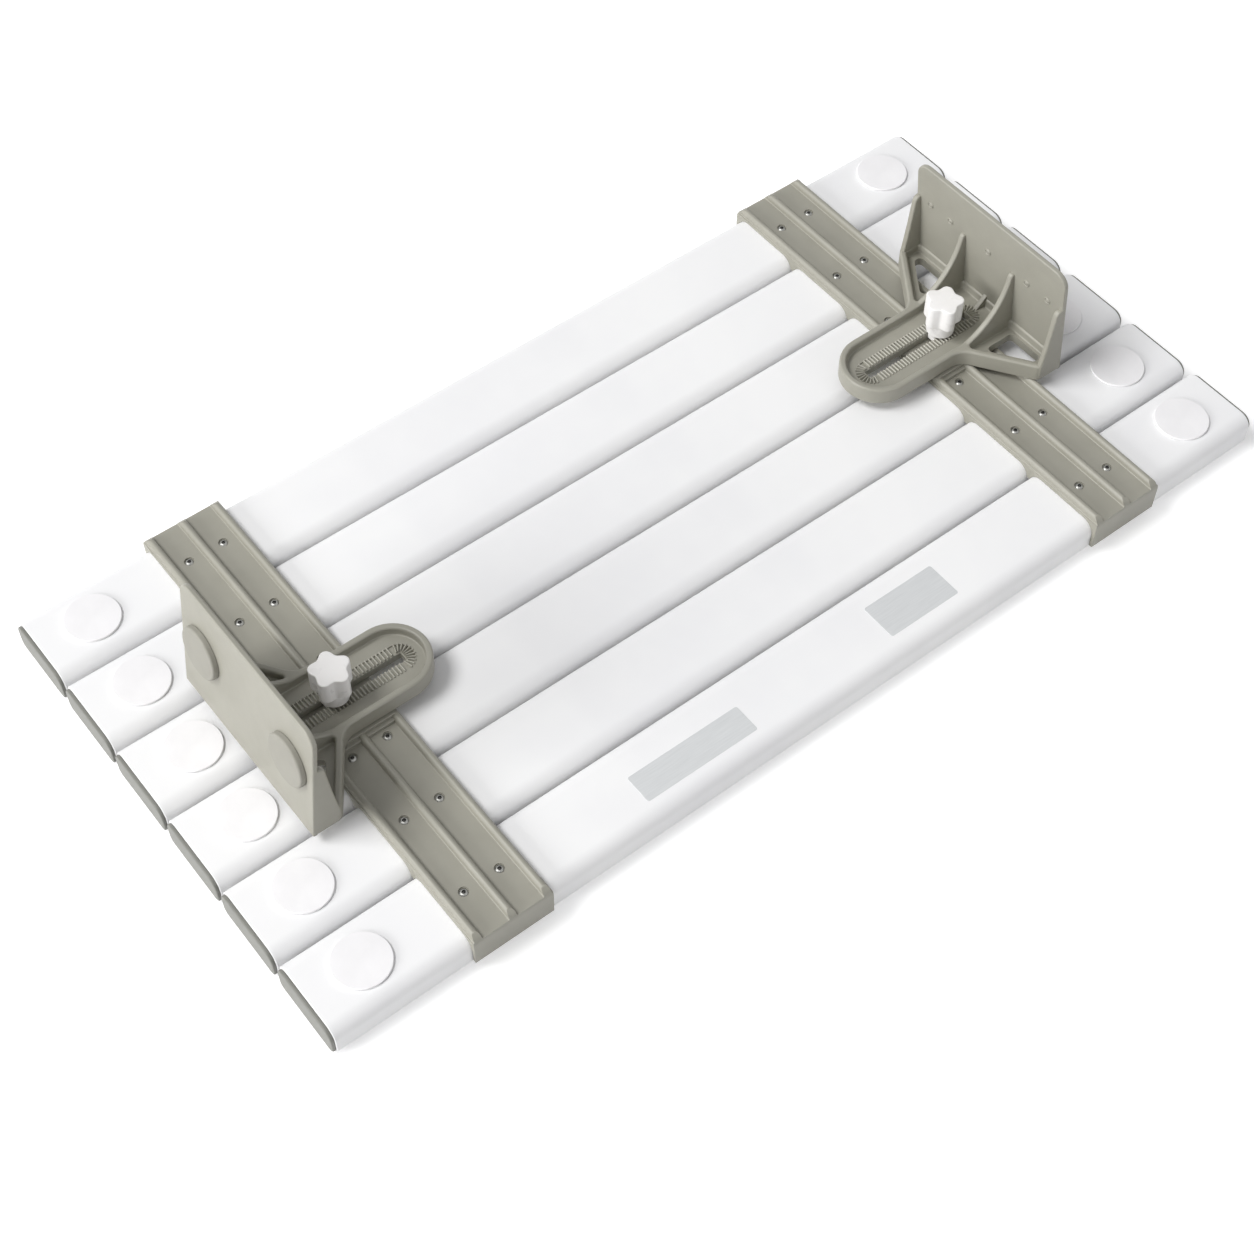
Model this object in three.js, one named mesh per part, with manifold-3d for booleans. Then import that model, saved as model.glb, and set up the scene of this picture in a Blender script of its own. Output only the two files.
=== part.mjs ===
import * as THREE from 'three';
import { mergeVertices } from 'three/addons/utils/BufferGeometryUtils.js';
import Module from 'manifold-3d';

// Slatted bath board with two adjustable wall brackets, lying with its seat face down.
// Millimetres. X runs along the slats, Y across them, Z up from the seat face.

// Clearances
const fitGap = 0.3;
const overrun = 6;

// Slats
const slatCount = 6;
const boardLength = 711;
const slatWidth = 55.5;
const slatSpacing = 2.5;
const slatThickness = 24;
const slatWall = 2;
const slatWeb = 1.8;
const slatCells = 3;
const seatEdgeRadius = 6;
const undersideEdgeRadius = 9;

// End caps
const capFlange = 2.2;
const capInset = 1.2;
const capEdge = 0.8;
const plugDepth = 12;

// Rim discs
const discRadius = 17.7;
const discThickness = 1.5;
const discEdge = 0.5;
const discInset = 38.5;

// Cross rails
const railInset = 118.5;
const railFloor = 2;
const railFootHalf = 27;
const beadReach = 23.5;
const beadWidth = 5;
const beadHeight = 4.4;
const skirtWall = 2.4;
const webWall = 3;
const finDepth = 7;
const endWall = 2.4;
const endWallFoot = 5.5;
const endRoll = 5;
const platformHeight = 4.8;
const platformHalf = 27;
const stepHeight = 2.4;
const stepHalf = 29.4;

// Rivet holes
const rivetHoleRadius = 2.1;
const rivetReach = 12.2;
const middleRivetShift = 5.5;

// Bracket arm and web
const armHalf = 25;
const armReach = 124.5;
const armFloor = 6;
const rimHeight = 12;
const rimWidth = 4.5;
const rimEdge = 1.6;
const rimSkim = 0.1;
const junctionReach = 50;
const junctionRadius = 14;
const cornerReach = 20;
const cornerRadius = 6;

// Cut-outs in the web
const holeStart = 9;
const holeMargin = 5.5;
const holeRadius = 3;
const pocketRadius = 2;
const footLedge = 1.9;

// Slot and its teeth
const slotStart = 20;
const slotMargin = 16.5;
const slotHalf = 3.3;
const toothPitch = 2.5;
const toothHeight = 1;
const toothBase = 2.1;
const toothLength = 7;
const fanTeeth = 11;

// Bracket plate
const plateThickness = 3.5;
const plateHalf = 68;
const plateHeight = 88;
const plateRadius = 10;
const plateEdge = 1;
const plateLean = THREE.MathUtils.degToRad(7.2);

// Gussets
const gussetWall = 4;
const gussetEdge = 0.8;
const outerGussetHeight = 58;
const outerGussetTip = 5;
const outerSweepShare = 0.2;
const innerGussetHeight = 56;
const innerGussetTip = 3;
const innerSweepShare = 0.7;
const footGussetSize = 8;
const footGussetWall = 3;

// Wall pads
const padRadius = 17;
const padThickness = 4;
const padEdge = 1.2;
const padInset = 23;
const padDrop = 40;
const pegRadius = 2;
const pegReach = 9.5;
const pegRise = 10;
const pegProud = 0.5;
const dimpleRadius = 1.6;
const dimpleDepth = 0.6;

// Clamps
const rightPlateReach = 45;
const leftPlateReach = 60;
const studRadius = 3;
const studDip = 1.9;
const studChamfer = 1;
const studInKnob = 12;
const clampLift = 0.9;
const washerRadius = 9.2;
const washerHeight = 9;
const washerEdge = 0.8;
const keyStart = 5;
const keyLength = 2.2;
const keyDepth = 6;
const washerTeeth = 2;
const knobHeight = 17.5;
const knobLobes = 5;
const lobeCorner = 16.2;
const lobeRadius = 4.2;
const valleyCorner = 9.6;
const valleyRadius = 3;
const knobEdge = 1.2;
const nutHalf = 5;
const nutThickness = 3.2;
const nutDip = 0.9;

// Facets
const cornerSteps = 2;
const cellSteps = 1;
const beadSteps = 2;
const tipSteps = 2;
const curveSteps = 4;
const holeSides = 6;
const roundSides = 20;
const boreSides = 12;
const knobSteps = 2;

// Sizes that follow from the ones above
const slatPitch = slatWidth + slatSpacing;
const boardHalfWidth = (slatCount * slatPitch - slatSpacing) / 2;
const slatLength = boardLength - 2 * (capFlange + fitGap);
const railReach = boardLength / 2 - railInset;
const discReach = boardLength / 2 - discInset;
const cellWidth = (slatWidth - 2 * slatWall - (slatCells - 1) * slatWeb) / slatCells;
const railUnderside = slatThickness + fitGap;
const railTop = railUnderside + railFloor;
const beadTop = railTop + beadHeight;
const platformTop = railTop + platformHeight;
const railHalfLength = boardHalfWidth + fitGap + endWall;
const armBottom = platformTop + fitGap;
const slotEnd = armReach - slotMargin;
const padReach = plateHalf - padInset;
const padHeight = plateHeight - padDrop;
const washerRoot = armFloor + fitGap + toothHeight + clampLift;
const washerTop = washerRoot + washerHeight;
const knobBottom = washerTop + fitGap;
const boreRadius = studRadius + fitGap;
const pegHoleRadius = pegRadius + fitGap;

// Finishes
const whitePlastic = { color: 0xf0eff0, roughness: 0.42, metalness: 0 };
const discRubber = { color: 0xf3f2f3, roughness: 0.7, metalness: 0 };
const greyPlastic = { color: 0xa6a499, roughness: 0.5, metalness: 0 };
const padRubber = { color: 0x9c9a8f, roughness: 0.75, metalness: 0 };
const knobPlastic = { color: 0xf1efec, roughness: 0.35, metalness: 0 };
const steel = { color: 0xb9babb, roughness: 0.3, metalness: 1 };

// Axes that an outline is extruded along
const xAxis = new THREE.Vector3(1, 0, 0);
const yAxis = new THREE.Vector3(0, 1, 0);
const zAxis = new THREE.Vector3(0, 0, 1);
const alongZ = new THREE.Matrix4();
const alongX = new THREE.Matrix4().makeBasis(yAxis, zAxis, xAxis);
const alongY = new THREE.Matrix4().makeBasis(xAxis, zAxis, yAxis.clone().negate());
const acrossPlate = new THREE.Matrix4().makeRotationY(Math.PI / 2);
const leaning = new THREE.Matrix4().makeRotationY(plateLean);

const wasm = await Module();
wasm.setup();

// Closed solid from a geometry whose shared vertices are merged
function toSolid(geometry) {
  geometry.deleteAttribute('normal');
  geometry.deleteAttribute('uv');
  const merged = mergeVertices(geometry);
  const corners = merged.index.array;
  const kept = [];
  for (let start = 0; start < corners.length; start += 3) {
    const [a, b, c] = corners.slice(start, start + 3);
    if (a !== b && b !== c && c !== a) {
      kept.push(a, b, c);
    }
  }
  return new wasm.Manifold(new wasm.Mesh({
    numProp: 3,
    vertProperties: merged.attributes.position.array,
    triVerts: new Uint32Array(kept),
  }));
}

function toGeometry(solid) {
  const mesh = solid.getMesh();
  const geometry = new THREE.BufferGeometry();
  geometry.setAttribute('position', new THREE.BufferAttribute(mesh.vertProperties, 3));
  geometry.setIndex(new THREE.BufferAttribute(mesh.triVerts, 1));
  geometry.computeVertexNormals();
  return geometry;
}

function join(...solids) {
  return solids.reduce((whole, solid) => whole.add(solid));
}

function cut(body, ...tools) {
  return tools.reduce((rest, tool) => rest.subtract(tool), body);
}

// Outline extruded from low to high. A positive edge rounds its ends off, a negative one flares them.
function prism(outline, low, high, { edge = 0, steps = cornerSteps, place = alongZ } = {}) {
  const size = Math.abs(edge);
  const geometry = new THREE.ExtrudeGeometry(outline, {
    depth: high - low - 2 * size,
    bevelEnabled: size > 0,
    bevelThickness: size,
    bevelSize: edge,
    bevelOffset: -edge,
    bevelSegments: 1,
    curveSegments: steps,
  });
  geometry.translate(0, 0, low + size);
  return toSolid(geometry.applyMatrix4(place));
}

// Box between two opposite corners
function block(low, high, place = alongZ) {
  const [x, y, z] = high.map((value, axis) => value - low[axis]);
  const [middleX, middleY, middleZ] = high.map((value, axis) => (value + low[axis]) / 2);
  const geometry = new THREE.BoxGeometry(x, y, z).translate(middleX, middleY, middleZ);
  return toSolid(geometry.applyMatrix4(place));
}

// Upright round bar
function rod(radius, low, high, { x = 0, y = 0, sides = holeSides, place = alongZ } = {}) {
  const geometry = new THREE.CylinderGeometry(radius, radius, high - low, sides);
  geometry.rotateX(Math.PI / 2).translate(x, y, (low + high) / 2);
  return toSolid(geometry.applyMatrix4(place));
}

// Profile of [radius, height] points, from the axis back to the axis, turned about Z
function turned(profile, sides = roundSides) {
  const points = profile.map(([radius, height]) => new THREE.Vector2(radius, height));
  return toSolid(new THREE.LatheGeometry(points, sides).rotateX(Math.PI / 2));
}

// Closed outline through [x, y, radius] corners, each rounded by an arc of its radius
function roundedOutline(corners) {
  const shape = new THREE.Shape();
  corners.forEach(([x, y, radius], index) => {
    const corner = new THREE.Vector2(x, y);
    const before = new THREE.Vector2(...corners.at(index - 1)).sub(corner).normalize();
    const after = new THREE.Vector2(...corners[(index + 1) % corners.length]).sub(corner).normalize();
    const halfAngle = Math.acos(before.dot(after)) / 2;
    const start = corner.clone().addScaledVector(before, radius / Math.tan(halfAngle));
    if (index === 0) {
      shape.moveTo(start.x, start.y);
    } else {
      shape.lineTo(start.x, start.y);
    }
    if (radius > 0) {
      const end = corner.clone().addScaledVector(after, radius / Math.tan(halfAngle));
      const middle = before.clone().add(after).normalize();
      const centre = corner.clone().addScaledVector(middle, radius / Math.sin(halfAngle));
      const startAngle = start.clone().sub(centre).angle();
      const endAngle = end.clone().sub(centre).angle();
      shape.absarc(centre.x, centre.y, radius, startAngle, endAngle, before.cross(after) > 0);
    }
  });
  return shape;
}

// Outline of a slat's section, drawn with Y to the right and Z up
function slatOutline(inset) {
  const half = slatWidth / 2 - inset;
  const seatRadius = seatEdgeRadius - inset;
  const undersideRadius = undersideEdgeRadius - inset;
  return roundedOutline([
    [-half, inset, seatRadius],
    [half, inset, seatRadius],
    [half, slatThickness - inset, undersideRadius],
    [-half, slatThickness - inset, undersideRadius],
  ]);
}

// Outline of one of a slat's cells, or of the tongue that plugs it with the clearance as its inset
function cellOutline(index, inset) {
  const start = -slatWidth / 2 + slatWall + index * (cellWidth + slatWeb);
  const left = start + inset;
  const right = start + cellWidth - inset;
  const low = slatWall + inset;
  const high = slatThickness - slatWall - inset;
  const first = index === 0 ? 1 : 0;
  const last = index === slatCells - 1 ? 1 : 0;
  const seatRadius = seatEdgeRadius - slatWall - inset;
  const undersideRadius = undersideEdgeRadius - slatWall - inset;
  return roundedOutline([
    [left, low, first * seatRadius],
    [right, low, last * seatRadius],
    [right, high, last * undersideRadius],
    [left, high, first * undersideRadius],
  ]);
}

function slatPlace(index) {
  return (index - (slatCount - 1) / 2) * slatPitch;
}

// Row of rivets over one slat: next to the middle it keeps clear of the arm's platform
function rivetPlace(index) {
  const middle = slatPlace(index);
  const besideMiddle = Math.abs(middle) < slatPitch;
  return besideMiddle ? middle + Math.sign(middle) * middleRivetShift : middle;
}

const cellIndexes = [...Array(slatCells).keys()];
const slatIndexes = [...Array(slatCount).keys()];

// Hollow slat with its rivet holes through the underside
function makeSlat(index) {
  const body = prism(slatOutline(0), -slatLength / 2, slatLength / 2, { place: alongX });
  const cells = cellIndexes.map((cell) => (
    prism(cellOutline(cell, 0), -boardLength / 2, boardLength / 2, { steps: cellSteps, place: alongX })
  ));
  const y = rivetPlace(index) - slatPlace(index);
  const holes = [-railReach, railReach].flatMap((rail) => [-rivetReach, rivetReach].map((offset) => (
    rod(rivetHoleRadius, slatThickness / 2, slatThickness + overrun, { x: rail + offset, y })
  )));
  return cut(body, ...cells, ...holes);
}

// Cap for a slat's +X end: its flange meets the slat at x = 0
function makeEndCap() {
  const rounded = prism(slatOutline(capInset), -capFlange, capFlange, { edge: capEdge, place: alongX });
  const inner = block(
    [-capFlange - overrun, -slatWidth, -overrun],
    [0, slatWidth, slatThickness + overrun],
  );
  const tongues = cellIndexes.map((cell) => (
    prism(cellOutline(cell, fitGap), -plugDepth, capFlange / 2, { steps: cellSteps, place: alongX })
  ));
  return join(cut(rounded, inner), ...tongues);
}

function makeRimDisc() {
  return turned([
    [0, 0],
    [discRadius, 0],
    [discRadius, discThickness - discEdge],
    [discRadius - discEdge, discThickness],
    [0, discThickness],
  ]);
}

// Section across a rail, drawn with X to the right and Z up: floor, three beads, skirts and legs
function railSection() {
  const foot = slatThickness - finDepth;
  const beadRadius = beadWidth / 2;
  const beadCentre = beadTop - beadRadius;
  const shape = new THREE.Shape();
  shape.moveTo(-railFootHalf, foot);
  shape.lineTo(-railFootHalf + skirtWall, foot);
  shape.lineTo(-railFootHalf + skirtWall, railUnderside);
  shape.lineTo(-webWall / 2, railUnderside);
  shape.lineTo(-webWall / 2, foot);
  shape.lineTo(webWall / 2, foot);
  shape.lineTo(webWall / 2, railUnderside);
  shape.lineTo(railFootHalf - skirtWall, railUnderside);
  shape.lineTo(railFootHalf - skirtWall, foot);
  shape.lineTo(railFootHalf, foot);
  shape.lineTo(railFootHalf, railUnderside);
  [beadReach, 0, -beadReach].forEach((middle) => {
    shape.lineTo(middle + beadRadius, railTop);
    shape.lineTo(middle + beadRadius, beadCentre);
    shape.absarc(middle, beadCentre, beadRadius, 0, Math.PI);
    shape.lineTo(middle - beadRadius, railTop);
  });
  shape.lineTo(-railFootHalf, railUnderside);
  return shape;
}

// Side view of a rail, drawn with Y to the right and Z up. Its underside follows the slats'
// rounded edges down into the gaps between them, and its end walls go round the outer slats.
function railSide() {
  const radius = undersideEdgeRadius + fitGap;
  const centre = slatThickness - undersideEdgeRadius;
  const flatHalf = slatWidth / 2 - undersideEdgeRadius;
  const finAngle = Math.asin((slatThickness - finDepth - centre) / radius);
  const shape = new THREE.Shape();
  shape.moveTo(-railHalfLength, endWallFoot);
  shape.lineTo(-railHalfLength + endWall, endWallFoot);
  slatIndexes.forEach((index) => {
    const middle = slatPlace(index);
    const startAngle = index === 0 ? Math.PI : Math.PI - finAngle;
    const endAngle = index === slatCount - 1 ? 0 : finAngle;
    shape.absarc(middle - flatHalf, centre, radius, startAngle, Math.PI / 2, true);
    shape.absarc(middle + flatHalf, centre, radius, Math.PI / 2, endAngle, true);
  });
  shape.lineTo(railHalfLength - endWall, endWallFoot);
  shape.lineTo(railHalfLength, endWallFoot);
  shape.absarc(railHalfLength - endRoll, beadTop - endRoll, endRoll, 0, Math.PI / 2);
  shape.absarc(-railHalfLength + endRoll, beadTop - endRoll, endRoll, Math.PI / 2, Math.PI);
  return shape;
}

function nutOutline(half) {
  const corners = [...Array(6).keys()].map((corner) => {
    const angle = corner * Math.PI / 3;
    const reach = half / Math.cos(Math.PI / 6);
    return [reach * Math.cos(angle), reach * Math.sin(angle), 0];
  });
  return roundedOutline(corners);
}

// Rail about its own middle, with the platform that the arm slides on and the nut's pocket below it
function makeRail() {
  const side = railSide();
  const beam = prism(railSection(), -railHalfLength, railHalfLength, { steps: beadSteps, place: alongY })
    .intersect(prism(side, -railFootHalf, railFootHalf, { place: alongX }));
  const outerFlat = slatPlace(slatCount - 1) + slatWidth / 2 - undersideEdgeRadius;
  const endBlocks = join(
    block([-railFootHalf, -railHalfLength, 0], [railFootHalf, -outerFlat, railTop]),
    block([-railFootHalf, outerFlat, 0], [railFootHalf, railHalfLength, railTop]),
  );
  const endWalls = prism(side, -railFootHalf, railFootHalf, { place: alongX }).intersect(endBlocks);
  const platform = block(
    [-beadReach, -platformHalf, railUnderside],
    [beadReach, platformHalf, platformTop],
  );
  const step = block([-beadReach, -stepHalf, railUnderside], [beadReach, stepHalf, railTop + stepHeight]);
  const rivetHoles = slatIndexes.flatMap((index) => [-rivetReach, rivetReach].map((x) => (
    rod(rivetHoleRadius, railUnderside - overrun, railTop + overrun, { x, y: rivetPlace(index) })
  )));
  const nutTop = slatThickness - nutDip + nutThickness;
  return cut(
    join(beam, endWalls, platform, step),
    prism(nutOutline(nutHalf + fitGap), 0, nutTop + fitGap),
    rod(boreRadius, 0, platformTop + overrun, { sides: boreSides }),
    ...rivetHoles,
  );
}

// How far the bracket's web reaches at a given y, inset from its slanting edge
function webReach(y, inset) {
  const slope = (junctionReach - cornerReach) / (armHalf - plateHalf);
  return cornerReach + (y - plateHalf) * slope - inset * Math.hypot(1, slope);
}

// Outline of the bracket's arm and web from above, with the plate's foot at x = 0
function bracketOutline() {
  return roundedOutline([
    [0, -plateHalf, 0],
    [cornerReach, -plateHalf, cornerRadius],
    [junctionReach, -armHalf, junctionRadius],
    [armReach, -armHalf, armHalf],
    [armReach, armHalf, armHalf],
    [junctionReach, armHalf, junctionRadius],
    [cornerReach, plateHalf, cornerRadius],
    [0, plateHalf, 0],
  ]);
}

// Hollow of the arm, between its rims and the ledge at the plate's foot
function armPocketOutline() {
  const half = armHalf - rimWidth;
  const start = plateInner(armFloor) + footLedge;
  return roundedOutline([
    [start, -half, pocketRadius],
    [armReach - rimWidth, -half, half],
    [armReach - rimWidth, half, half],
    [start, half, pocketRadius],
  ]);
}

// Hollow of the web on one side, between that ledge, the arm's rim and the slanting rim
function webPocketOutline(side) {
  const outer = plateHalf - rimWidth;
  const start = plateInner(armFloor) + footLedge;
  const corners = [
    [start, side * armHalf, pocketRadius],
    [webReach(armHalf, rimWidth), side * armHalf, pocketRadius],
    [webReach(outer, rimWidth), side * outer, pocketRadius],
    [start, side * outer, pocketRadius],
  ];
  return roundedOutline(side > 0 ? corners : corners.reverse());
}

// Cut-out through the web's floor on one side
function webHoleOutline(side) {
  const near = armHalf + holeMargin;
  const outer = plateHalf - rimWidth - holeMargin;
  const inset = rimWidth + holeMargin;
  const corners = [
    [holeStart, side * near, holeRadius],
    [webReach(near, inset), side * near, holeRadius],
    [webReach(outer, inset), side * outer, holeRadius],
    [holeStart, side * outer, holeRadius],
  ];
  return roundedOutline(side > 0 ? corners : corners.reverse());
}

// Triangular tooth at x whose length lies along Y. Its root runs into the face that carries it,
// and a negative rise points it down.
function tooth(x, start, end, base, rise, place = alongZ) {
  const half = Math.sign(rise) * toothBase / 2;
  const shape = new THREE.Shape();
  shape.moveTo(x - half, base - rise);
  shape.lineTo(x + half, base - rise);
  shape.lineTo(x + half, base);
  shape.lineTo(x, base + rise);
  shape.lineTo(x - half, base);
  return prism(shape, -end, -start, { place: place.clone().multiply(alongY) });
}

// Teeth beside the slot, and in a fan round each of its ends
function slotTeeth() {
  const start = slotHalf - toothPitch;
  const end = slotHalf + toothLength;
  const fanCentres = [slotStart + slotHalf, slotEnd - slotHalf];
  const firstTooth = Math.ceil(fanCentres[0] / toothPitch);
  const lastTooth = Math.floor(fanCentres[1] / toothPitch);
  const rows = [];
  for (let count = firstTooth; count <= lastTooth; count += 1) {
    rows.push(tooth(count * toothPitch, start, end, armFloor, toothHeight));
    rows.push(tooth(count * toothPitch, -end, -start, armFloor, toothHeight));
  }
  const fans = fanCentres.flatMap((x, fan) => [...Array(fanTeeth).keys()].map((count) => {
    const turn = (count + 1) * Math.PI / (fanTeeth + 1) + (fan === 0 ? 0 : Math.PI);
    const place = new THREE.Matrix4().makeRotationZ(turn).setPosition(x, 0, 0);
    return tooth(0, start, end, armFloor, toothHeight, place);
  }));
  return join(...rows, ...fans);
}

// How far the plate's inner face stands from x = 0 at a height
function plateInner(height) {
  return plateThickness / Math.cos(plateLean) + height * Math.tan(plateLean);
}

// Upright gusset centred on y. Its crest sweeps from the rim at the given reach up to a rounded
// tip on the plate; sweepShare says how far it sags from a straight line.
function gusset(y, reach, height, tip, sweepShare) {
  const root = armFloor / 2;
  const shoulder = height - tip;
  const crest = plateInner(shoulder) + tip;
  const shape = new THREE.Shape();
  shape.moveTo(plateThickness / 2, root);
  shape.lineTo(reach, root);
  shape.lineTo(reach, rimHeight - rimEdge);
  shape.quadraticCurveTo(
    THREE.MathUtils.lerp((reach + crest) / 2, crest, sweepShare),
    THREE.MathUtils.lerp((rimHeight + shoulder) / 2, rimHeight, sweepShare),
    crest,
    shoulder,
  );
  shape.quadraticCurveTo(crest, height, plateInner(height), height);
  shape.lineTo(plateInner(height) - plateThickness / 2, height);
  const low = -y - gussetWall / 2;
  return prism(shape, low, low + gussetWall, { edge: gussetEdge, steps: curveSteps, place: alongY });
}

// Small triangular gusset in the middle of the plate's foot, over the ledge there
function footGusset() {
  const root = armFloor / 2;
  const reach = plateInner(armFloor) + footLedge + footGussetSize;
  const top = rimHeight + footGussetSize / 2;
  const shape = new THREE.Shape();
  shape.moveTo(plateThickness / 2, root);
  shape.lineTo(reach, root);
  shape.lineTo(reach, armFloor);
  shape.lineTo(plateInner(top) - plateThickness / 2, top);
  return prism(shape, -footGussetWall / 2, footGussetWall / 2, { place: alongY });
}

// Places of a pad's two pegs in the plate's own plane, on one side
function pegPlaces(side) {
  return [-pegReach, pegReach].map((offset) => [side * padReach + offset, padHeight + pegRise]);
}

// Round bar across the plate, from low to high in front of the plate's outer face
function plateRod(radius, low, high, y, z, frame = leaning) {
  const place = frame.clone().multiply(new THREE.Matrix4().makeTranslation(0, y, z)).multiply(acrossPlate);
  return rod(radius, low, high, { place });
}

function makeBracket() {
  const pocketTop = rimHeight + rimSkim;
  const pockets = [armPocketOutline(), webPocketOutline(-1), webPocketOutline(1)].map((outline) => (
    prism(outline, -pocketTop, pocketTop, { edge: -rimEdge, steps: tipSteps })
  ));
  const floor = block(
    [-armReach, -2 * plateHalf, -rimHeight - overrun],
    [2 * armReach, 2 * plateHalf, armFloor],
  );
  const web = cut(
    prism(bracketOutline(), -rimHeight, rimHeight, { edge: rimEdge, steps: tipSteps }),
    cut(join(...pockets), floor),
  );
  const webHoles = [-1, 1].map((side) => prism(webHoleOutline(side), -overrun, armFloor + overrun));
  const behindPlate = block(
    [-plateHeight, -plateHeight, -plateHeight],
    [plateThickness / 2, plateHeight, plateHeight],
    leaning,
  );
  const plateOutline = roundedOutline([
    [-plateHalf, -overrun, 0],
    [plateHalf, -overrun, 0],
    [plateHalf, plateHeight / Math.cos(plateLean), plateRadius],
    [-plateHalf, plateHeight / Math.cos(plateLean), plateRadius],
  ]);
  const place = leaning.clone().multiply(alongX);
  const plate = prism(plateOutline, 0, plateThickness, { edge: plateEdge, place });
  const innerPlace = armHalf - rimWidth / 2;
  const outerPlace = plateHalf - gussetWall / 2;
  const gussets = [-1, 1].flatMap((side) => [
    gusset(side * innerPlace, junctionReach, innerGussetHeight, innerGussetTip, innerSweepShare),
    gusset(side * outerPlace, cornerReach, outerGussetHeight, outerGussetTip, outerSweepShare),
  ]);
  const reachable = prism(bracketOutline(), 0, plateHeight, { steps: tipSteps });
  const roundedGussets = join(...gussets).intersect(reachable);
  const slot = block([slotStart, -slotHalf, -overrun], [slotEnd, slotHalf, armFloor + overrun]);
  const underside = block([-plateHeight, -plateHeight, -plateHeight], [2 * armReach, plateHeight, 0]);
  const pegHoles = [-1, 1].flatMap(pegPlaces).map(([y, z]) => (
    plateRod(pegHoleRadius, -overrun, plateThickness + overrun, y, z)
  ));
  const dimple = plateRod(
    dimpleRadius,
    plateThickness - dimpleDepth,
    plateThickness + overrun,
    0,
    padHeight + pegRise,
  );
  return cut(
    join(cut(web, behindPlate), plate, roundedGussets, footGusset(), slotTeeth()),
    slot,
    underside,
    dimple,
    ...webHoles,
    ...pegHoles,
  );
}

// Wall pad on one side, in the plate's own frame, with its pegs through the plate
function makeWallPad(side) {
  const circle = new THREE.Shape();
  circle.absarc(side * padReach, padHeight, padRadius, 0, 2 * Math.PI);
  const rounded = prism(circle, -fitGap - padThickness, padThickness, {
    edge: padEdge,
    steps: roundSides / 2,
    place: alongX,
  });
  const behind = block([-fitGap, -plateHalf, 0], [padThickness + overrun, plateHalf, plateHeight]);
  const pegs = pegPlaces(side).map(([y, z]) => (
    plateRod(pegRadius, -fitGap - padThickness / 2, plateThickness + pegProud, y, z, alongZ)
  ));
  return join(cut(rounded, behind), ...pegs);
}

// Lock washer: a collar with two keys that ride in the slot and teeth that mesh with the arm's.
// It has teeth only beside the stud, so that they stay clear of the fans at both ends of the travel.
// Heights are measured from the arm's underside, with the clamp slackened.
function makeLockWasher() {
  const collar = turned([
    [0, washerRoot],
    [washerRadius, washerRoot],
    [washerRadius, washerTop - washerEdge],
    [washerRadius - washerEdge, washerTop],
    [0, washerTop],
  ]);
  const keys = [-1, 1].map((side) => block(
    [Math.min(side * keyStart, side * (keyStart + keyLength)), -slotHalf + fitGap, washerRoot - keyDepth],
    [Math.max(side * keyStart, side * (keyStart + keyLength)), slotHalf - fitGap, washerRoot + washerEdge],
  ));
  const teeth = [];
  for (let index = 0; index < washerTeeth; index += 1) {
    const x = (index - (washerTeeth - 1) / 2) * toothPitch;
    teeth.push(tooth(x, slotHalf + fitGap, washerRadius, washerRoot, -toothHeight));
    teeth.push(tooth(x, -washerRadius, -slotHalf - fitGap, washerRoot, -toothHeight));
  }
  const within = rod(washerRadius, 0, washerTop, { sides: roundSides });
  const bore = rod(boreRadius, 0, washerTop + overrun, { sides: boreSides });
  return cut(join(collar, ...keys, join(...teeth).intersect(within)), bore);
}

// Star knob with a blind bore for the stud. Its lobes and the valleys between them are rounded.
function makeKnob() {
  const corners = [...Array(2 * knobLobes).keys()].map((index) => {
    const angle = index * Math.PI / knobLobes;
    const [reach, radius] = index % 2 === 0 ? [lobeCorner, lobeRadius] : [valleyCorner, valleyRadius];
    return [reach * Math.cos(angle), reach * Math.sin(angle), radius];
  });
  const body = prism(roundedOutline(corners), knobBottom, knobBottom + knobHeight, {
    edge: knobEdge,
    steps: knobSteps,
  });
  const bore = rod(boreRadius, 0, knobBottom + studInKnob + fitGap, { sides: boreSides });
  return cut(body, bore);
}

// Stud from below the captive nut up into the knob
function makeStud() {
  const foot = slatThickness - studDip - armBottom;
  const top = knobBottom + studInKnob;
  return turned([
    [0, foot],
    [studRadius - studChamfer, foot],
    [studRadius, foot + studChamfer],
    [studRadius, top],
    [0, top],
  ], boreSides);
}

function makeNut() {
  const low = slatThickness - nutDip;
  const bore = rod(boreRadius, low - overrun, low + nutThickness + overrun, { sides: boreSides });
  return cut(prism(nutOutline(nutHalf), low, low + nutThickness), bore);
}

const board = new THREE.Group();

// Named mesh at a place in a parent group
function addPiece(parent, name, solid, finish, { x = 0, y = 0, z = 0, turn = 0 } = {}) {
  const mesh = new THREE.Mesh(toGeometry(solid), new THREE.MeshStandardMaterial(finish));
  mesh.name = name;
  mesh.position.set(x, y, z);
  mesh.rotation.z = turn;
  parent.add(mesh);
}

// Slats with their end caps and rim discs, numbered from the far side to the near side
const endCap = makeEndCap();
const rimDisc = makeRimDisc();
slatIndexes.forEach((index) => {
  const number = slatCount - index;
  const y = slatPlace(index);
  const capPlace = slatLength / 2 + fitGap;
  const discPlace = slatThickness + fitGap;
  addPiece(board, `slat_${number}`, makeSlat(index), whitePlastic, { y });
  addPiece(board, `end_cap_left_${number}`, endCap, greyPlastic, { x: -capPlace, y, turn: Math.PI });
  addPiece(board, `end_cap_right_${number}`, endCap, greyPlastic, { x: capPlace, y });
  addPiece(board, `rim_disc_left_${number}`, rimDisc, discRubber, { x: -discReach, y, z: discPlace });
  addPiece(board, `rim_disc_right_${number}`, rimDisc, discRubber, { x: discReach, y, z: discPlace });
});

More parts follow.
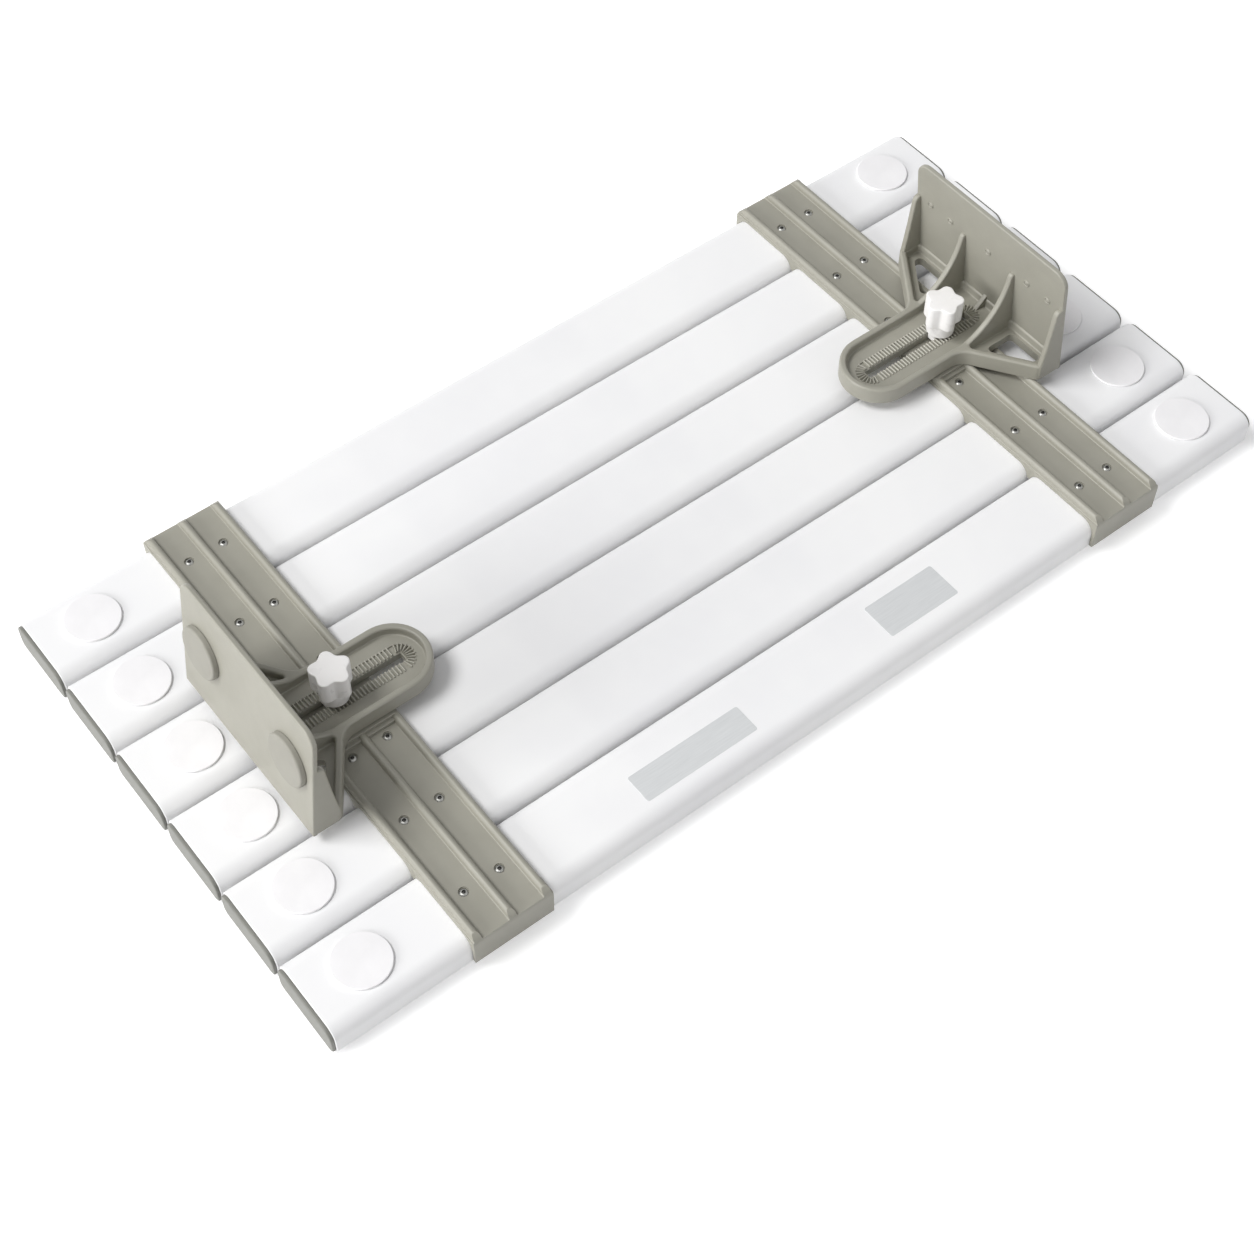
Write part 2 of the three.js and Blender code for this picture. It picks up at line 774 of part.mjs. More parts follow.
// Each side's rail, bracket and clamp. The left bracket's arm points along +X, the right one's is
// turned half round.
const rail = makeRail();
const bracket = makeBracket();
const wallPads = { far: makeWallPad(1), near: makeWallPad(-1) };
const sides = [
  { name: 'left', railX: -railReach, plateReach: leftPlateReach, turn: 0, far: 'far', near: 'near' },
  { name: 'right', railX: railReach, plateReach: rightPlateReach, turn: Math.PI, far: 'near', near: 'far' },
];
sides.forEach(({ name, railX, plateReach, turn, far, near }) => {
  addPiece(board, `rail_${name}`, rail, greyPlastic, { x: railX });
  addPiece(board, `captive_nut_${name}`, makeNut(), steel, { x: railX });

  const bracketGroup = new THREE.Group();
  bracketGroup.position.set(railX - Math.cos(turn) * plateReach, 0, armBottom);
  bracketGroup.rotation.z = turn;
  board.add(bracketGroup);
  addPiece(bracketGroup, `bracket_${name}`, bracket, greyPlastic);
  const plateGroup = new THREE.Group();
  plateGroup.rotation.y = plateLean;
  bracketGroup.add(plateGroup);
  addPiece(plateGroup, `wall_pad_${name}_${far}`, wallPads.far, padRubber);
  addPiece(plateGroup, `wall_pad_${name}_${near}`, wallPads.near, padRubber);

  const clampGroup = new THREE.Group();
  clampGroup.position.set(railX, 0, armBottom);
  clampGroup.rotation.z = turn;
  board.add(clampGroup);
  addPiece(clampGroup, `lock_washer_${name}`, makeLockWasher(), knobPlastic);
  addPiece(clampGroup, `knob_${name}`, makeKnob(), knobPlastic);
  addPiece(clampGroup, `knob_stud_${name}`, makeStud(), steel);
});

export default board;
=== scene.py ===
import math

import bmesh
import bpy
from mathutils import Matrix, Quaternion, Vector


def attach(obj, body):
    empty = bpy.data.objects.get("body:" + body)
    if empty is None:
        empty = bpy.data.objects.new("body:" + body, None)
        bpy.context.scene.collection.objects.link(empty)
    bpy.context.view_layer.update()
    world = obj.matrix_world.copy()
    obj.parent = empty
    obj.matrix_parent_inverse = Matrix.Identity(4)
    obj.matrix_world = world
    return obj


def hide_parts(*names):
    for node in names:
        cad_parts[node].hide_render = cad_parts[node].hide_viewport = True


# A slatted bath board lying with its seat face down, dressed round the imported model.
# Sizes are in millimetres until a mesh is made, X along the slats, Y across them, Z up.

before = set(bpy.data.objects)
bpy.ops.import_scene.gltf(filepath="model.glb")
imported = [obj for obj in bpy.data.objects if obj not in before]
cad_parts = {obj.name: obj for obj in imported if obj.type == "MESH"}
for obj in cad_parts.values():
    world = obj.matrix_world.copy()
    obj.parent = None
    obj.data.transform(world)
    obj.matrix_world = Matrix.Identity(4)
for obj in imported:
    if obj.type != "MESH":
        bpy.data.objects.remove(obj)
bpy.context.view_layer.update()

MM = 0.001
FULL_TURN = 2 * math.pi
HALF_TURN = math.pi
QUARTER_TURN = math.pi / 2

# Direction along X of each side
SIDES = {"left": -1, "right": 1}

# Slats
FIT_GAP = 0.3
SLAT_COUNT = 6
BOARD_LENGTH = 711
SLAT_WIDTH = 55.5
SLAT_PITCH = 58
SLAT_THICKNESS = 24
SLAT_WALL = 2
SLAT_WEB = 1.8
SLAT_CELLS = 3
SEAT_RADIUS = 6
UNDERSIDE_RADIUS = 9
SLAT_END_EDGE = 0.4

# End caps
CAP_FLANGE = 2.2
CAP_INSET = 1.2
CAP_EDGE = 0.8
CAP_CROWN = 0.25
PLUG_DEPTH = 12

# Rim discs
DISC_RADIUS = 17.7
DISC_THICKNESS = 1.5
DISC_EDGE = 0.5
DISC_DOME = 0.12
DISC_REACH = 317

# Cross rails
RAIL_REACH = 237
RAIL_FLOOR = 2
RAIL_FOOT_HALF = 27
BEAD_REACH = 23.5
BEAD_WIDTH = 5
BEAD_HEIGHT = 4.4
BEAD_FILLET = 0.7
SKIRT_WALL = 2.4
WEB_WALL = 3
FIN_DEPTH = 7
END_WALL = 2.4
END_WALL_FOOT = 5.5
END_ROLL = 7
END_INSET = 0.05
OVERSHOOT = 1
PLATFORM_HEIGHT = 4.8
PLATFORM_HALF = 27
STEP_HEIGHT = 2.4
STEP_HALF = 29.4
STEP_EDGE = 0.5

# Rivets
RIVET_REACH = 12.2
RIVET_SHIFT = 5.5
RIVET_RADIUS = 2.6
RIVET_HEIGHT = 0.9
RIVET_RIM = 0.2
RIVET_BORE = 1.25
RIVET_DEPTH = 0.7
CORE_SHOULDER_SHARE = 0.8
CORE_TIP_SHARE = 0.3
RECESS_RADIUS = 3.2
RECESS_DEPTH = 0.9

# Bracket arm and web
ARM_HALF = 25
ARM_REACH = 124.5
ARM_FLOOR = 6
RIM_HEIGHT = 12
RIM_WIDTH = 4.5
RIM_EDGE = 1.6
FLOOR_FILLET = 1
JUNCTION_REACH = 50
JUNCTION_RADIUS = 14
CORNER_REACH = 20
CORNER_RADIUS = 6
WEB_START = 2.5
LEDGE = 1.9
UNDERSIDE_EDGE = 0.4

# Cut-outs in the web
HOLE_START = 9
HOLE_MARGIN = 5.5
HOLE_RADIUS = 3
POCKET_RADIUS = 2
CUT_EDGE = 0.5

# Slot and its teeth
SLOT_START = 20
SLOT_END = 108
SLOT_HALF = 3.3
TOOTH_PITCH = 2.5
TOOTH_HEIGHT = 1
TOOTH_BASE = 1.3
TOOTH_CREST = 0.9
TOOTH_LENGTH = 7
TOOTH_LAND = 0.4
TOOTH_SUNK = 0.3
BED_DEPTH = 1
FAN_TEETH = 11
FAN_TAPER_SHARE = 0.5

# Bracket plate and its gussets
PLATE_THICKNESS = 3.5
PLATE_HALF = 68
PLATE_HEIGHT = 88
PLATE_RADIUS = 10
PLATE_EDGE = 1
PLATE_LEAN = math.radians(7.2)
GUSSET_WALL = 4
GUSSET_EDGE = 1.2
OUTER_GUSSET = {"reach": 20, "height": 58, "tip": 5, "sweep": 0.2}
INNER_GUSSET = {"reach": 50, "height": 56, "tip": 3, "sweep": 0.7}
FOOT_GUSSET_SIZE = 8
FOOT_GUSSET_WALL = 3
FOOT_GUSSET_EDGE = 0.4
MARK_RADIUS = 2.5
MARK_RING = 0.7
MARK_PROUD = 0.7

# Wall pads
PAD_RADIUS = 17
PAD_THICKNESS = 4
PAD_EDGE = 1.4
PAD_DOME = 0.3
PAD_REACH = 45
PAD_HEIGHT = 48
PEG_REACH = 9.5
PEG_RISE = 10

# Clamps
PLATE_REACH = {"left": 60, "right": 45}
STUD_RADIUS = 3
CLAMP_LIFT = 0.9
WASHER_RADIUS = 9.2
WASHER_HEIGHT = 9
WASHER_EDGE = 0.9
KEY_START = 5
KEY_LENGTH = 2.2
KEY_DEPTH = 6
WASHER_TEETH = 2
KNOB_HEIGHT = 17.5
KNOB_LOBES = 5
LOBE_CORNER = 16.2
LOBE_RADIUS = 4.2
VALLEY_CORNER = 9.6
VALLEY_RADIUS = 3
KNOB_EDGE = 0.9
KNOB_FOOT_EDGE = 0.6
KNOB_CROWN = 0.15

# Blank labels on the near slat
LABELS = [
    {"x": -91.5, "y": -150.8, "length": 81, "width": 20},
    {"x": 81.8, "y": -146.3, "length": 54, "width": 26},
]
LABEL_THICKNESS = 0.12
LABEL_CORNER = 1.5

# Facets
ARC_STEPS = 8
WIDE_ARC_STEPS = 14
EDGE_STEPS = 4
BEAD_STEPS = 12
DOME_STEPS = 6
CREST_STEPS = 6
SLOT_CORNER_STEPS = 3
SWEEP_STEPS = 16
TIP_STEPS = 6
KNOB_STEPS = 10
ROUND_SIDES = 72
RIVET_SIDES = 36
RECESS_SIDES = 32
MARK_SIDES = 28
CORE_SIDES = 24
SMOOTH_ANGLE = math.radians(34)
SAME_PLACE = 0.001

# Sizes that follow from the ones above
SLAT_LENGTH = BOARD_LENGTH - 2 * (CAP_FLANGE + FIT_GAP)
CELL_WIDTH = (SLAT_WIDTH - 2 * SLAT_WALL - (SLAT_CELLS - 1) * SLAT_WEB) / SLAT_CELLS
CAP_CROWN_INSET = CAP_INSET + 3 * CAP_EDGE
RAIL_UNDERSIDE = SLAT_THICKNESS + FIT_GAP
RAIL_TOP = RAIL_UNDERSIDE + RAIL_FLOOR
BEAD_TOP = RAIL_TOP + BEAD_HEIGHT
RECESS_FLOOR = RAIL_TOP - RECESS_DEPTH
PLATFORM_TOP = RAIL_TOP + PLATFORM_HEIGHT
BOARD_HALF_WIDTH = (SLAT_COUNT * SLAT_PITCH - (SLAT_PITCH - SLAT_WIDTH)) / 2
RAIL_HALF_LENGTH = BOARD_HALF_WIDTH + FIT_GAP + END_WALL
ARM_BOTTOM = PLATFORM_TOP + FIT_GAP
PLATE_TOP = PLATE_HEIGHT / math.cos(PLATE_LEAN)
WASHER_ROOT = ARM_FLOOR + FIT_GAP + TOOTH_HEIGHT + CLAMP_LIFT
WASHER_TOP = WASHER_ROOT + WASHER_HEIGHT
KNOB_BOTTOM = WASHER_TOP + FIT_GAP
BORE_RADIUS = STUD_RADIUS + FIT_GAP

# Axes that an outline is extruded along
ALONG_Z = Matrix.Identity(4)
ALONG_X = Matrix(((0, 0, 1, 0), (1, 0, 0, 0), (0, 1, 0, 0), (0, 0, 0, 1)))
ALONG_Y = Matrix(((1, 0, 0, 0), (0, 0, -1, 0), (0, 1, 0, 0), (0, 0, 0, 1)))
LEANING = Matrix.Rotation(PLATE_LEAN, 4, "Y")

# Noise in the materials, whose scales are in cells per metre
SLAT_CLOUD = {"scale": 14, "detail": 3}
SLAT_RIPPLE = {"scale": 70, "detail": 1}
DIE_LINES = {"scale": 900, "detail": 2, "stretch": (0.004, 1, 1)}
MOTTLE = {"scale": 35, "detail": 4, "roughness": 0.6}
SHEEN = {"scale": 110, "detail": 2}
GRAIN = {"scale": 1600, "detail": 3, "roughness": 0.7}
FLOW_MARKS = {"scale": 60, "detail": 1}
SCRATCHES = {"scale": 1200, "detail": 2}
EVEN = (1, 1, 1)
LABEL_STRETCH = (0.05, 1, 1)

# Depths of the bumps, in metres
SLAT_RIPPLE_DEPTH = 0.00002
DIE_LINE_DEPTH = 0.000008
PLASTIC_GRAIN = 0.000012
RUBBER_GRAIN = 0.00002
POLISHED_GRAIN = 0.000006
FLOW_MARK_DEPTH = 0.00003
SCRATCH_DEPTH = 0.000004

# Roughness range of the slats, and how far the others stray from their own roughness
SLAT_ROUGHNESS = (0.36, 0.5)
PLASTIC_SPREAD = (-0.05, 0.06)
METAL_SPREAD = (-0.08, 0.1)

# Noise values that give a material's dark and light tone
TONE_RAMP = (0.35, 0.65)
SCRATCH_RAMP = (0.3, 0.7)
PLASTIC_SPECULAR = 0.5

# Floor and world
FLOOR_REACH = 6000
FLOOR_LEVEL = -0.3
FLOOR_TONE = (246, 246, 246)
FLOOR_ROUGHNESS = 0.9
FLOOR_SPECULAR = 0.1
BACKDROP_GLOW = 0.35
WHITE = (1, 1, 1, 1)
AMBIENT = (0.32, 0.32, 0.325, 1)

# Lamps, in metres and watts, all aimed at the origin
LAMPS = {
    "key": {"place": (-4.0, 2.0, 6.4), "size": (3.4, 3.0), "power": 382},
    "left": {"place": (-7.2, 0.8, 2.4), "size": (3.4, 2.4), "power": 300},
    "front": {"place": (0.6, -6.4, 3.2), "size": (5, 2.4), "power": 38},
}

# Camera, as fitted to the photograph
CAMERA_TARGET = Vector((-67.55, -57.82, 26.3)) * MM
CAMERA_DISTANCE = 1326.94 * MM
CAMERA_AZIMUTH = math.radians(-38.0171)
CAMERA_ELEVATION = math.radians(54.1822)
CAMERA_ROLL = math.radians(0.2676)
CAMERA_SENSOR = 36
CAMERA_LENS = 63.575


# ---- Outlines: lists of (x, y) points, counter-clockwise ----


def arc(centre_x, centre_y, radius, start, end, steps=ARC_STEPS):
    """Points on an arc from start to end, both included."""
    points = []
    for step in range(steps + 1):
        angle = start + (end - start) * step / steps
        points.append((centre_x + radius * math.cos(angle), centre_y + radius * math.sin(angle)))
    return points


def curve(start, bend, end, steps):
    """Points on a quadratic curve, both ends included."""
    points = []
    for step in range(steps + 1):
        share = step / steps
        points.append(tuple(start.lerp(bend, share).lerp(bend.lerp(end, share), share)))
    return points


def rounded(corners, steps=ARC_STEPS):
    """Outline through (x, y, radius) corners, each rounded by an arc of its radius."""
    points = []
    for index, (x, y, radius) in enumerate(corners):
        corner = Vector((x, y))
        before = (Vector(corners[index - 1][:2]) - corner).normalized()
        after = (Vector(corners[(index + 1) % len(corners)][:2]) - corner).normalized()
        if radius <= 0:
            points.append((x, y))
            continue
        half_angle = math.acos(max(-1, min(1, before.dot(after)))) / 2
        start = corner + before * (radius / math.tan(half_angle))
        centre = corner + (before + after).normalized() * (radius / math.sin(half_angle))
        start_angle = math.atan2(*(start - centre).yx)
        turn = HALF_TURN - 2 * half_angle
        if before.cross(after) > 0:
            turn = -turn
        points += arc(centre.x, centre.y, radius, start_angle, start_angle + turn, steps)
    return [
        point for index, point in enumerate(points)
        if math.dist(point, points[index - 1]) > SAME_PLACE
    ]


def rounded_box(low, high, half, radius, steps=ARC_STEPS):
    """Rectangle from low to high along X and half to either side of that axis."""
    return rounded([
        (low, -half, radius),
        (high, -half, radius),
        (high, half, radius),
        (low, half, radius),
    ], steps)


def mirrored(outline):
    """The outline on the other side of the X axis, still counter-clockwise."""
    return [(x, -y) for x, y in reversed(outline)]


def offset(outline, distance):
    """The outline moved inward by a distance, or outward by a negative one."""
    if not distance:
        return outline
    moved = []
    for index, point in enumerate(outline):
        here = Vector(point)
        along_before = (here - Vector(outline[index - 1])).normalized()
        along_after = (Vector(outline[(index + 1) % len(outline)]) - here).normalized()
        inward_before = Vector((-along_before.y, along_before.x))
        inward_after = Vector((-along_after.y, along_after.x))
        share = distance / (1 + inward_before.dot(inward_after))
        moved.append(tuple(here + (inward_before + inward_after) * share))
    return moved


def edge_rings(edge, level, facing=1):
    """(inset, height) rings of a rounded edge that ends flat at a level, from the lowest up.

    It faces up, or down with a facing of -1, and a negative edge flares outwards.
    """
    if not edge:
        return [(0, level)]
    size = abs(edge)
    rings = []
    for step in range(EDGE_STEPS + 1):
        angle = QUARTER_TURN * step / EDGE_STEPS
        inset = math.copysign(1, edge) * size * (1 - math.cos(angle))
        rings.append((inset, level + facing * (size * math.sin(angle) - size)))
    return rings[::facing]


def inset_levels(outline, rings):
    """Levels for a loft, with the outline moved inward at each (inset, height) ring."""
    return [(offset(outline, inset), height) for inset, height in rings]


# ---- Meshes ----


class Mould:
    """A mesh in the making, in millimetres."""

    def __init__(self):
        self.mesh = bmesh.new()

    def ring(self, outline, height, place=ALONG_Z):
        """Vertices of an outline at a height."""
        return [self.mesh.verts.new(place @ Vector((x, y, height))) for x, y in outline]

    def bridge(self, low, high):
        """Faces between two rings of equal point counts."""
        for index in range(len(low)):
            self.mesh.faces.new((low[index - 1], low[index], high[index], high[index - 1]))

    def close(self, *rings):
        """Flat face inside the first ring, with the others as its holes."""
        if len(rings) == 1:
            self.mesh.faces.new(rings[0])
            return
        edges = []
        for ring in rings:
            for index in range(len(ring)):
                pair = (ring[index - 1], ring[index])
                edges.append(self.mesh.edges.get(pair) or self.mesh.edges.new(pair))
        bmesh.ops.triangle_fill(self.mesh, edges=edges, use_beauty=True)

    def loft(self, levels, place=ALONG_Z, capped=True):
        """Skin through (outline, height) levels of equal point counts. Returns its end rings."""
        rings = [self.ring(outline, height, place) for outline, height in levels]
        for low, high in zip(rings, rings[1:]):
            self.bridge(low, high)
        if capped:
            self.close(rings[0])
            self.close(rings[-1])
        return rings[0], rings[-1]

    def prism(self, outline, low, high, low_edge=0, high_edge=0, place=ALONG_Z):
        """Outline extruded from low to high, with rounded edges where they have a size."""
        levels = inset_levels(outline, edge_rings(low_edge, low, -1))
        self.loft(levels + inset_levels(outline, edge_rings(high_edge, high)), place)

    def lathe(self, profile, sides=ROUND_SIDES, place=ALONG_Z, closed=False):
        """Profile of (radius, height) points turned about Z.

        Flat faces cap an open one, and a closed one is a ring whose ends meet.
        """
        angles = [FULL_TURN * side / sides for side in range(sides)]
        levels = [
            ([(radius * math.cos(angle), radius * math.sin(angle)) for angle in angles], height)
            for radius, height in profile
        ]
        if closed:
            levels.append(levels[0])
        self.loft(levels, place, capped=not closed)
        if closed:
            bmesh.ops.remove_doubles(self.mesh, verts=self.mesh.verts, dist=SAME_PLACE)

    def block(self, low, high):
        """Box between two corners."""
        outline = [(low[0], low[1]), (high[0], low[1]), (high[0], high[1]), (low[0], high[1])]
        self.loft([(outline, low[2]), (outline, high[2])])

    def made(self, name):
        """The object, its mesh in metres and smooth up to SMOOTH_ANGLE."""
        bmesh.ops.recalc_face_normals(self.mesh, faces=self.mesh.faces)
        data = bpy.data.meshes.new(name)
        self.mesh.to_mesh(data)
        self.mesh.free()
        data.transform(Matrix.Scale(MM, 4))
        smooth(data)
        thing = bpy.data.objects.new(name, data)
        bpy.context.scene.collection.objects.link(thing)
        return thing


def smooth(data):
    """Shades a mesh smooth, with sharp edges past SMOOTH_ANGLE."""
    data.shade_smooth()
    data.set_sharp_from_angle(angle=SMOOTH_ANGLE)


def helper(build):
    """An object from a function that fills its mould."""
    mould = Mould()
    build(mould)
    return mould.made("helper")


def combined(thing, build, operation):
    """Applies a boolean to the object's mesh, with what the function builds as its tool."""
    tool = helper(build)
    modifier = thing.modifiers.new(operation, "BOOLEAN")
    modifier.operation = operation
    modifier.solver = "EXACT"
    modifier.object = tool
    graph = bpy.context.evaluated_depsgraph_get()
    data = bpy.data.meshes.new_from_object(thing.evaluated_get(graph))
    thing.modifiers.clear()
    thing.data = data
    smooth(data)
    bpy.data.objects.remove(tool)


def mesh_of(thing):
    """Takes the mesh off an object and removes the object."""
    data = thing.data
    bpy.data.objects.remove(thing)
    return data


def turned_at(x, turn):
    """Place on the X axis, turned about Z."""
    return Matrix.Translation((x, 0, 0)) @ Matrix.Rotation(turn, 4, "Z")


def placed(name, data, body, material, slot, x=0, y=0, z=0, turn=0, nodes=()):
    """A piece with that mesh at a place in millimetres, riding on its body."""
    piece = bpy.data.objects.new(name, data)
    bpy.context.scene.collection.objects.link(piece)
    piece.matrix_world = Matrix.Translation(Vector((x, y, z)) * MM) @ Matrix.Rotation(turn, 4, "Z")
    if not data.materials:
        data.materials.append(material)
    weighted = piece.modifiers.new("weighted_normals", "WEIGHTED_NORMAL")
    weighted.keep_sharp = True
    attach(piece, body)
    if nodes:
        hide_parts(*nodes)


# ---- Materials ----


def linear(red, green, blue):
    """Linear colour from 0 to 255 display values, by the sRGB curve."""
    def one(value):
        share = value / 255
        return share / 12.92 if share <= 0.04045 else ((share + 0.055) / 1.055) ** 2.4
    return (one(red), one(green), one(blue), 1)


class Finish:
    """A Principled material with its node tree."""

    def __init__(self, name):
        self.material = bpy.data.materials.new(name)
        self.material.use_nodes = True
        self.tree = self.material.node_tree
        self.shader = self.tree.nodes["Principled BSDF"]
        self.place = self.node("ShaderNodeTexCoord").outputs["Object"]

    def node(self, kind, **values):
        """New node with its inputs and settings given by name."""
        made = self.tree.nodes.new(kind)
        for key, value in values.items():
            if key in made.inputs:
                made.inputs[key].default_value = value
            else:
                setattr(made, key, value)
        return made

    def link(self, output, socket):
        """Joins an output to a socket."""
        self.tree.links.new(output, socket)

    def set(self, **values):
        """Sets the shader's own sockets, with underscores for spaces."""
        for key, value in values.items():
            self.shader.inputs[key.replace("_", " ")].default_value = value

    def noise(self, scale, detail, roughness=0.5, stretch=EVEN):
        """Noise over the object's own coordinates, whose scale is in cells per metre."""
        mapping = self.node("ShaderNodeMapping")
        mapping.inputs["Scale"].default_value = stretch
        self.link(self.place, mapping.inputs["Vector"])
        noise = self.node("ShaderNodeTexNoise", Scale=scale, Detail=detail, Roughness=roughness)
        self.link(mapping.outputs["Vector"], noise.inputs["Vector"])
        return noise.outputs["Fac"]

    def tinted(self, factor, dark, light, places=TONE_RAMP):
        """Colour that varies between two tones with a factor."""
        ramp = self.node("ShaderNodeValToRGB")
        for element, place, tone in zip(ramp.color_ramp.elements, places, (dark, light)):
            element.position = place
            element.color = linear(*tone)
        self.link(factor, ramp.inputs["Fac"])
        self.link(ramp.outputs["Color"], self.shader.inputs["Base Color"])

    def roughened(self, factor, low, high):
        """Roughness that varies from low to high with a factor."""
        span = self.node("ShaderNodeMapRange")
        span.inputs["To Min"].default_value = low
        span.inputs["To Max"].default_value = high
        self.link(factor, span.inputs["Value"])
        self.link(span.outputs["Result"], self.shader.inputs["Roughness"])

    def bumped(self, *layers):
        """Bumps from (factor, depth in metres) layers, one over the other."""
        before = None
        for factor, depth in layers:
            bump = self.node("ShaderNodeBump", Strength=1, Distance=depth)
            self.link(factor, bump.inputs["Height"])
            if before:
                self.link(before, bump.inputs["Normal"])
            before = bump.outputs["Normal"]
        self.link(before, self.shader.inputs["Normal"])


def extruded_plastic(name, dark, light):
    """Satin plastic with the faint lines that an extrusion die leaves along X."""
    finish = Finish(name)
    finish.set(Specular_IOR_Level=PLASTIC_SPECULAR)
    cloud = finish.noise(**SLAT_CLOUD)
    die_lines = finish.noise(**DIE_LINES)
    finish.tinted(cloud, dark, light)
    finish.roughened(die_lines, *SLAT_ROUGHNESS)
    finish.bumped((die_lines, DIE_LINE_DEPTH), (finish.noise(**SLAT_RIPPLE), SLAT_RIPPLE_DEPTH))
    return finish.material


def moulded_plastic(name, dark, light, roughness, grain=PLASTIC_GRAIN):
    """Moulded plastic with a fine grain, a slight mottle and soft flow marks."""
    finish = Finish(name)
    finish.set(Specular_IOR_Level=PLASTIC_SPECULAR)
    finish.tinted(finish.noise(**MOTTLE), dark, light)
    fine_grain = finish.noise(**GRAIN)
    finish.roughened(finish.noise(**SHEEN), *[roughness + stray for stray in PLASTIC_SPREAD])
    finish.bumped((fine_grain, grain), (finish.noise(**FLOW_MARKS), FLOW_MARK_DEPTH))
    return finish.material


def scratched_metal(name, dark, light, roughness, stretch=EVEN, metallic=1):
    """Metal or foil whose tone and roughness vary with fine scratches."""
    finish = Finish(name)
    finish.set(Metallic=metallic)
    scratches = finish.noise(**SCRATCHES, stretch=stretch)
    finish.tinted(scratches, dark, light, SCRATCH_RAMP)
    finish.roughened(scratches, *[roughness + stray for stray in METAL_SPREAD])
    finish.bumped((scratches, SCRATCH_DEPTH))
    return finish.material


white_slat = extruded_plastic("white_extruded_plastic", (241, 241, 242), (246, 246, 246))
disc_rubber = moulded_plastic(
    "white_rubber", (240, 239, 240), (246, 245, 246), roughness=0.6, grain=RUBBER_GRAIN,
)
grey_plastic = moulded_plastic("grey_moulding", (152, 150, 139), (157, 155, 144), roughness=0.42)
# The teeth are the same grey moulding painted lighter: a painted highlight along their crests.
highlit_tooth_plastic = moulded_plastic("grey_teeth_painted_highlight", (174, 172, 161), (182, 180, 169), roughness=0.36)
cap_plastic = moulded_plastic("grey_cap", (115, 115, 109), (121, 121, 115), roughness=0.45)
pad_rubber = moulded_plastic(
    "grey_rubber", (147, 145, 136), (152, 150, 141), roughness=0.62, grain=RUBBER_GRAIN,
)
knob_plastic = moulded_plastic(
    "ivory_moulding", (243, 241, 239), (248, 247, 246), roughness=0.28, grain=POLISHED_GRAIN,
)
steel = scratched_metal("zinc_steel", (118, 118, 116), (172, 172, 168), roughness=0.4)
# Near-black metal for the cone in each rivet's hollow: painted shade of the bore.
rivet_bore_shade = scratched_metal("painted_bore_shade", (46, 45, 44), (78, 77, 76), roughness=0.45)
label_foil = scratched_metal(
    "label_foil", (204, 206, 207), (211, 213, 214),
    roughness=0.42, stretch=LABEL_STRETCH, metallic=0.35,
)


# ---- Slats, caps and discs ----


def slat_place(index):
    """Y of a slat's middle, counted from the near side."""
    return (index - (SLAT_COUNT - 1) / 2) * SLAT_PITCH


def slat_outline(inset):
    """Section of a slat, moved inward by an inset."""
    half = SLAT_WIDTH / 2 - inset
    return rounded([
        (-half, inset, SEAT_RADIUS - inset),
        (half, inset, SEAT_RADIUS - inset),
        (half, SLAT_THICKNESS - inset, UNDERSIDE_RADIUS - inset),
        (-half, SLAT_THICKNESS - inset, UNDERSIDE_RADIUS - inset),
    ])


def cell_outline(cell, inset):
    """Section of one of a slat's cells, which is round where it follows the slat's corners."""
    start = -SLAT_WIDTH / 2 + SLAT_WALL + cell * (CELL_WIDTH + SLAT_WEB)
    left, right = start + inset, start + CELL_WIDTH - inset
    low, high = SLAT_WALL + inset, SLAT_THICKNESS - SLAT_WALL - inset
    first, last = cell == 0, cell == SLAT_CELLS - 1
    seat = SEAT_RADIUS - SLAT_WALL - inset
    underside = UNDERSIDE_RADIUS - SLAT_WALL - inset
    return rounded([
        (left, low, first * seat),
        (right, low, last * seat),
        (right, high, last * underside),
        (left, high, first * underside),
    ])


def slat_mesh():
    """Hollow slat: its outer skin, its cells and the rims between them at both ends."""
    mould = Mould()
    half = SLAT_LENGTH / 2
    ends = edge_rings(SLAT_END_EDGE, -half, -1) + edge_rings(SLAT_END_EDGE, half)
    skin = [(slat_outline(inset), height) for inset, height in ends]
    cells = [
        [(cell_outline(cell, 0), -half), (cell_outline(cell, 0), half)]
        for cell in range(SLAT_CELLS)
    ]
    lofts = [mould.loft(levels, ALONG_X, capped=False) for levels in (skin, *cells)]
    for rings in zip(*lofts):
        mould.close(*rings)
    return mesh_of(mould.made("slat"))


def cap_mesh():
    """Cap for a slat's +X end: a crowned flange and three tongues."""
    mould = Mould()
    levels = [(slat_outline(CAP_INSET), 0)]
    for inset, height in edge_rings(CAP_EDGE, CAP_FLANGE - CAP_CROWN):
        levels.append((slat_outline(CAP_INSET + inset), height))
    levels.append((slat_outline(CAP_CROWN_INSET), CAP_FLANGE))
    mould.loft(levels, ALONG_X)
    for cell in range(SLAT_CELLS):
        tongue = cell_outline(cell, FIT_GAP)
        mould.prism(tongue, -PLUG_DEPTH, FIT_GAP, low_edge=FIT_GAP, place=ALONG_X)
    return mesh_of(mould.made("cap"))


def domed_profile(radius, thickness, edge, dome):
    """Profile of a round pad with a rounded edge and a slightly domed face."""
    profile = [(radius, 0)]
    profile += [(radius - inset, height) for inset, height in edge_rings(edge, thickness - dome)]
    return [*profile, (radius / 2, thickness)]


def disc_mesh():
    """Rim disc, flat on its slat."""
    mould = Mould()
    mould.lathe(domed_profile(DISC_RADIUS, DISC_THICKNESS, DISC_EDGE, DISC_DOME))
    return mesh_of(mould.made("disc"))


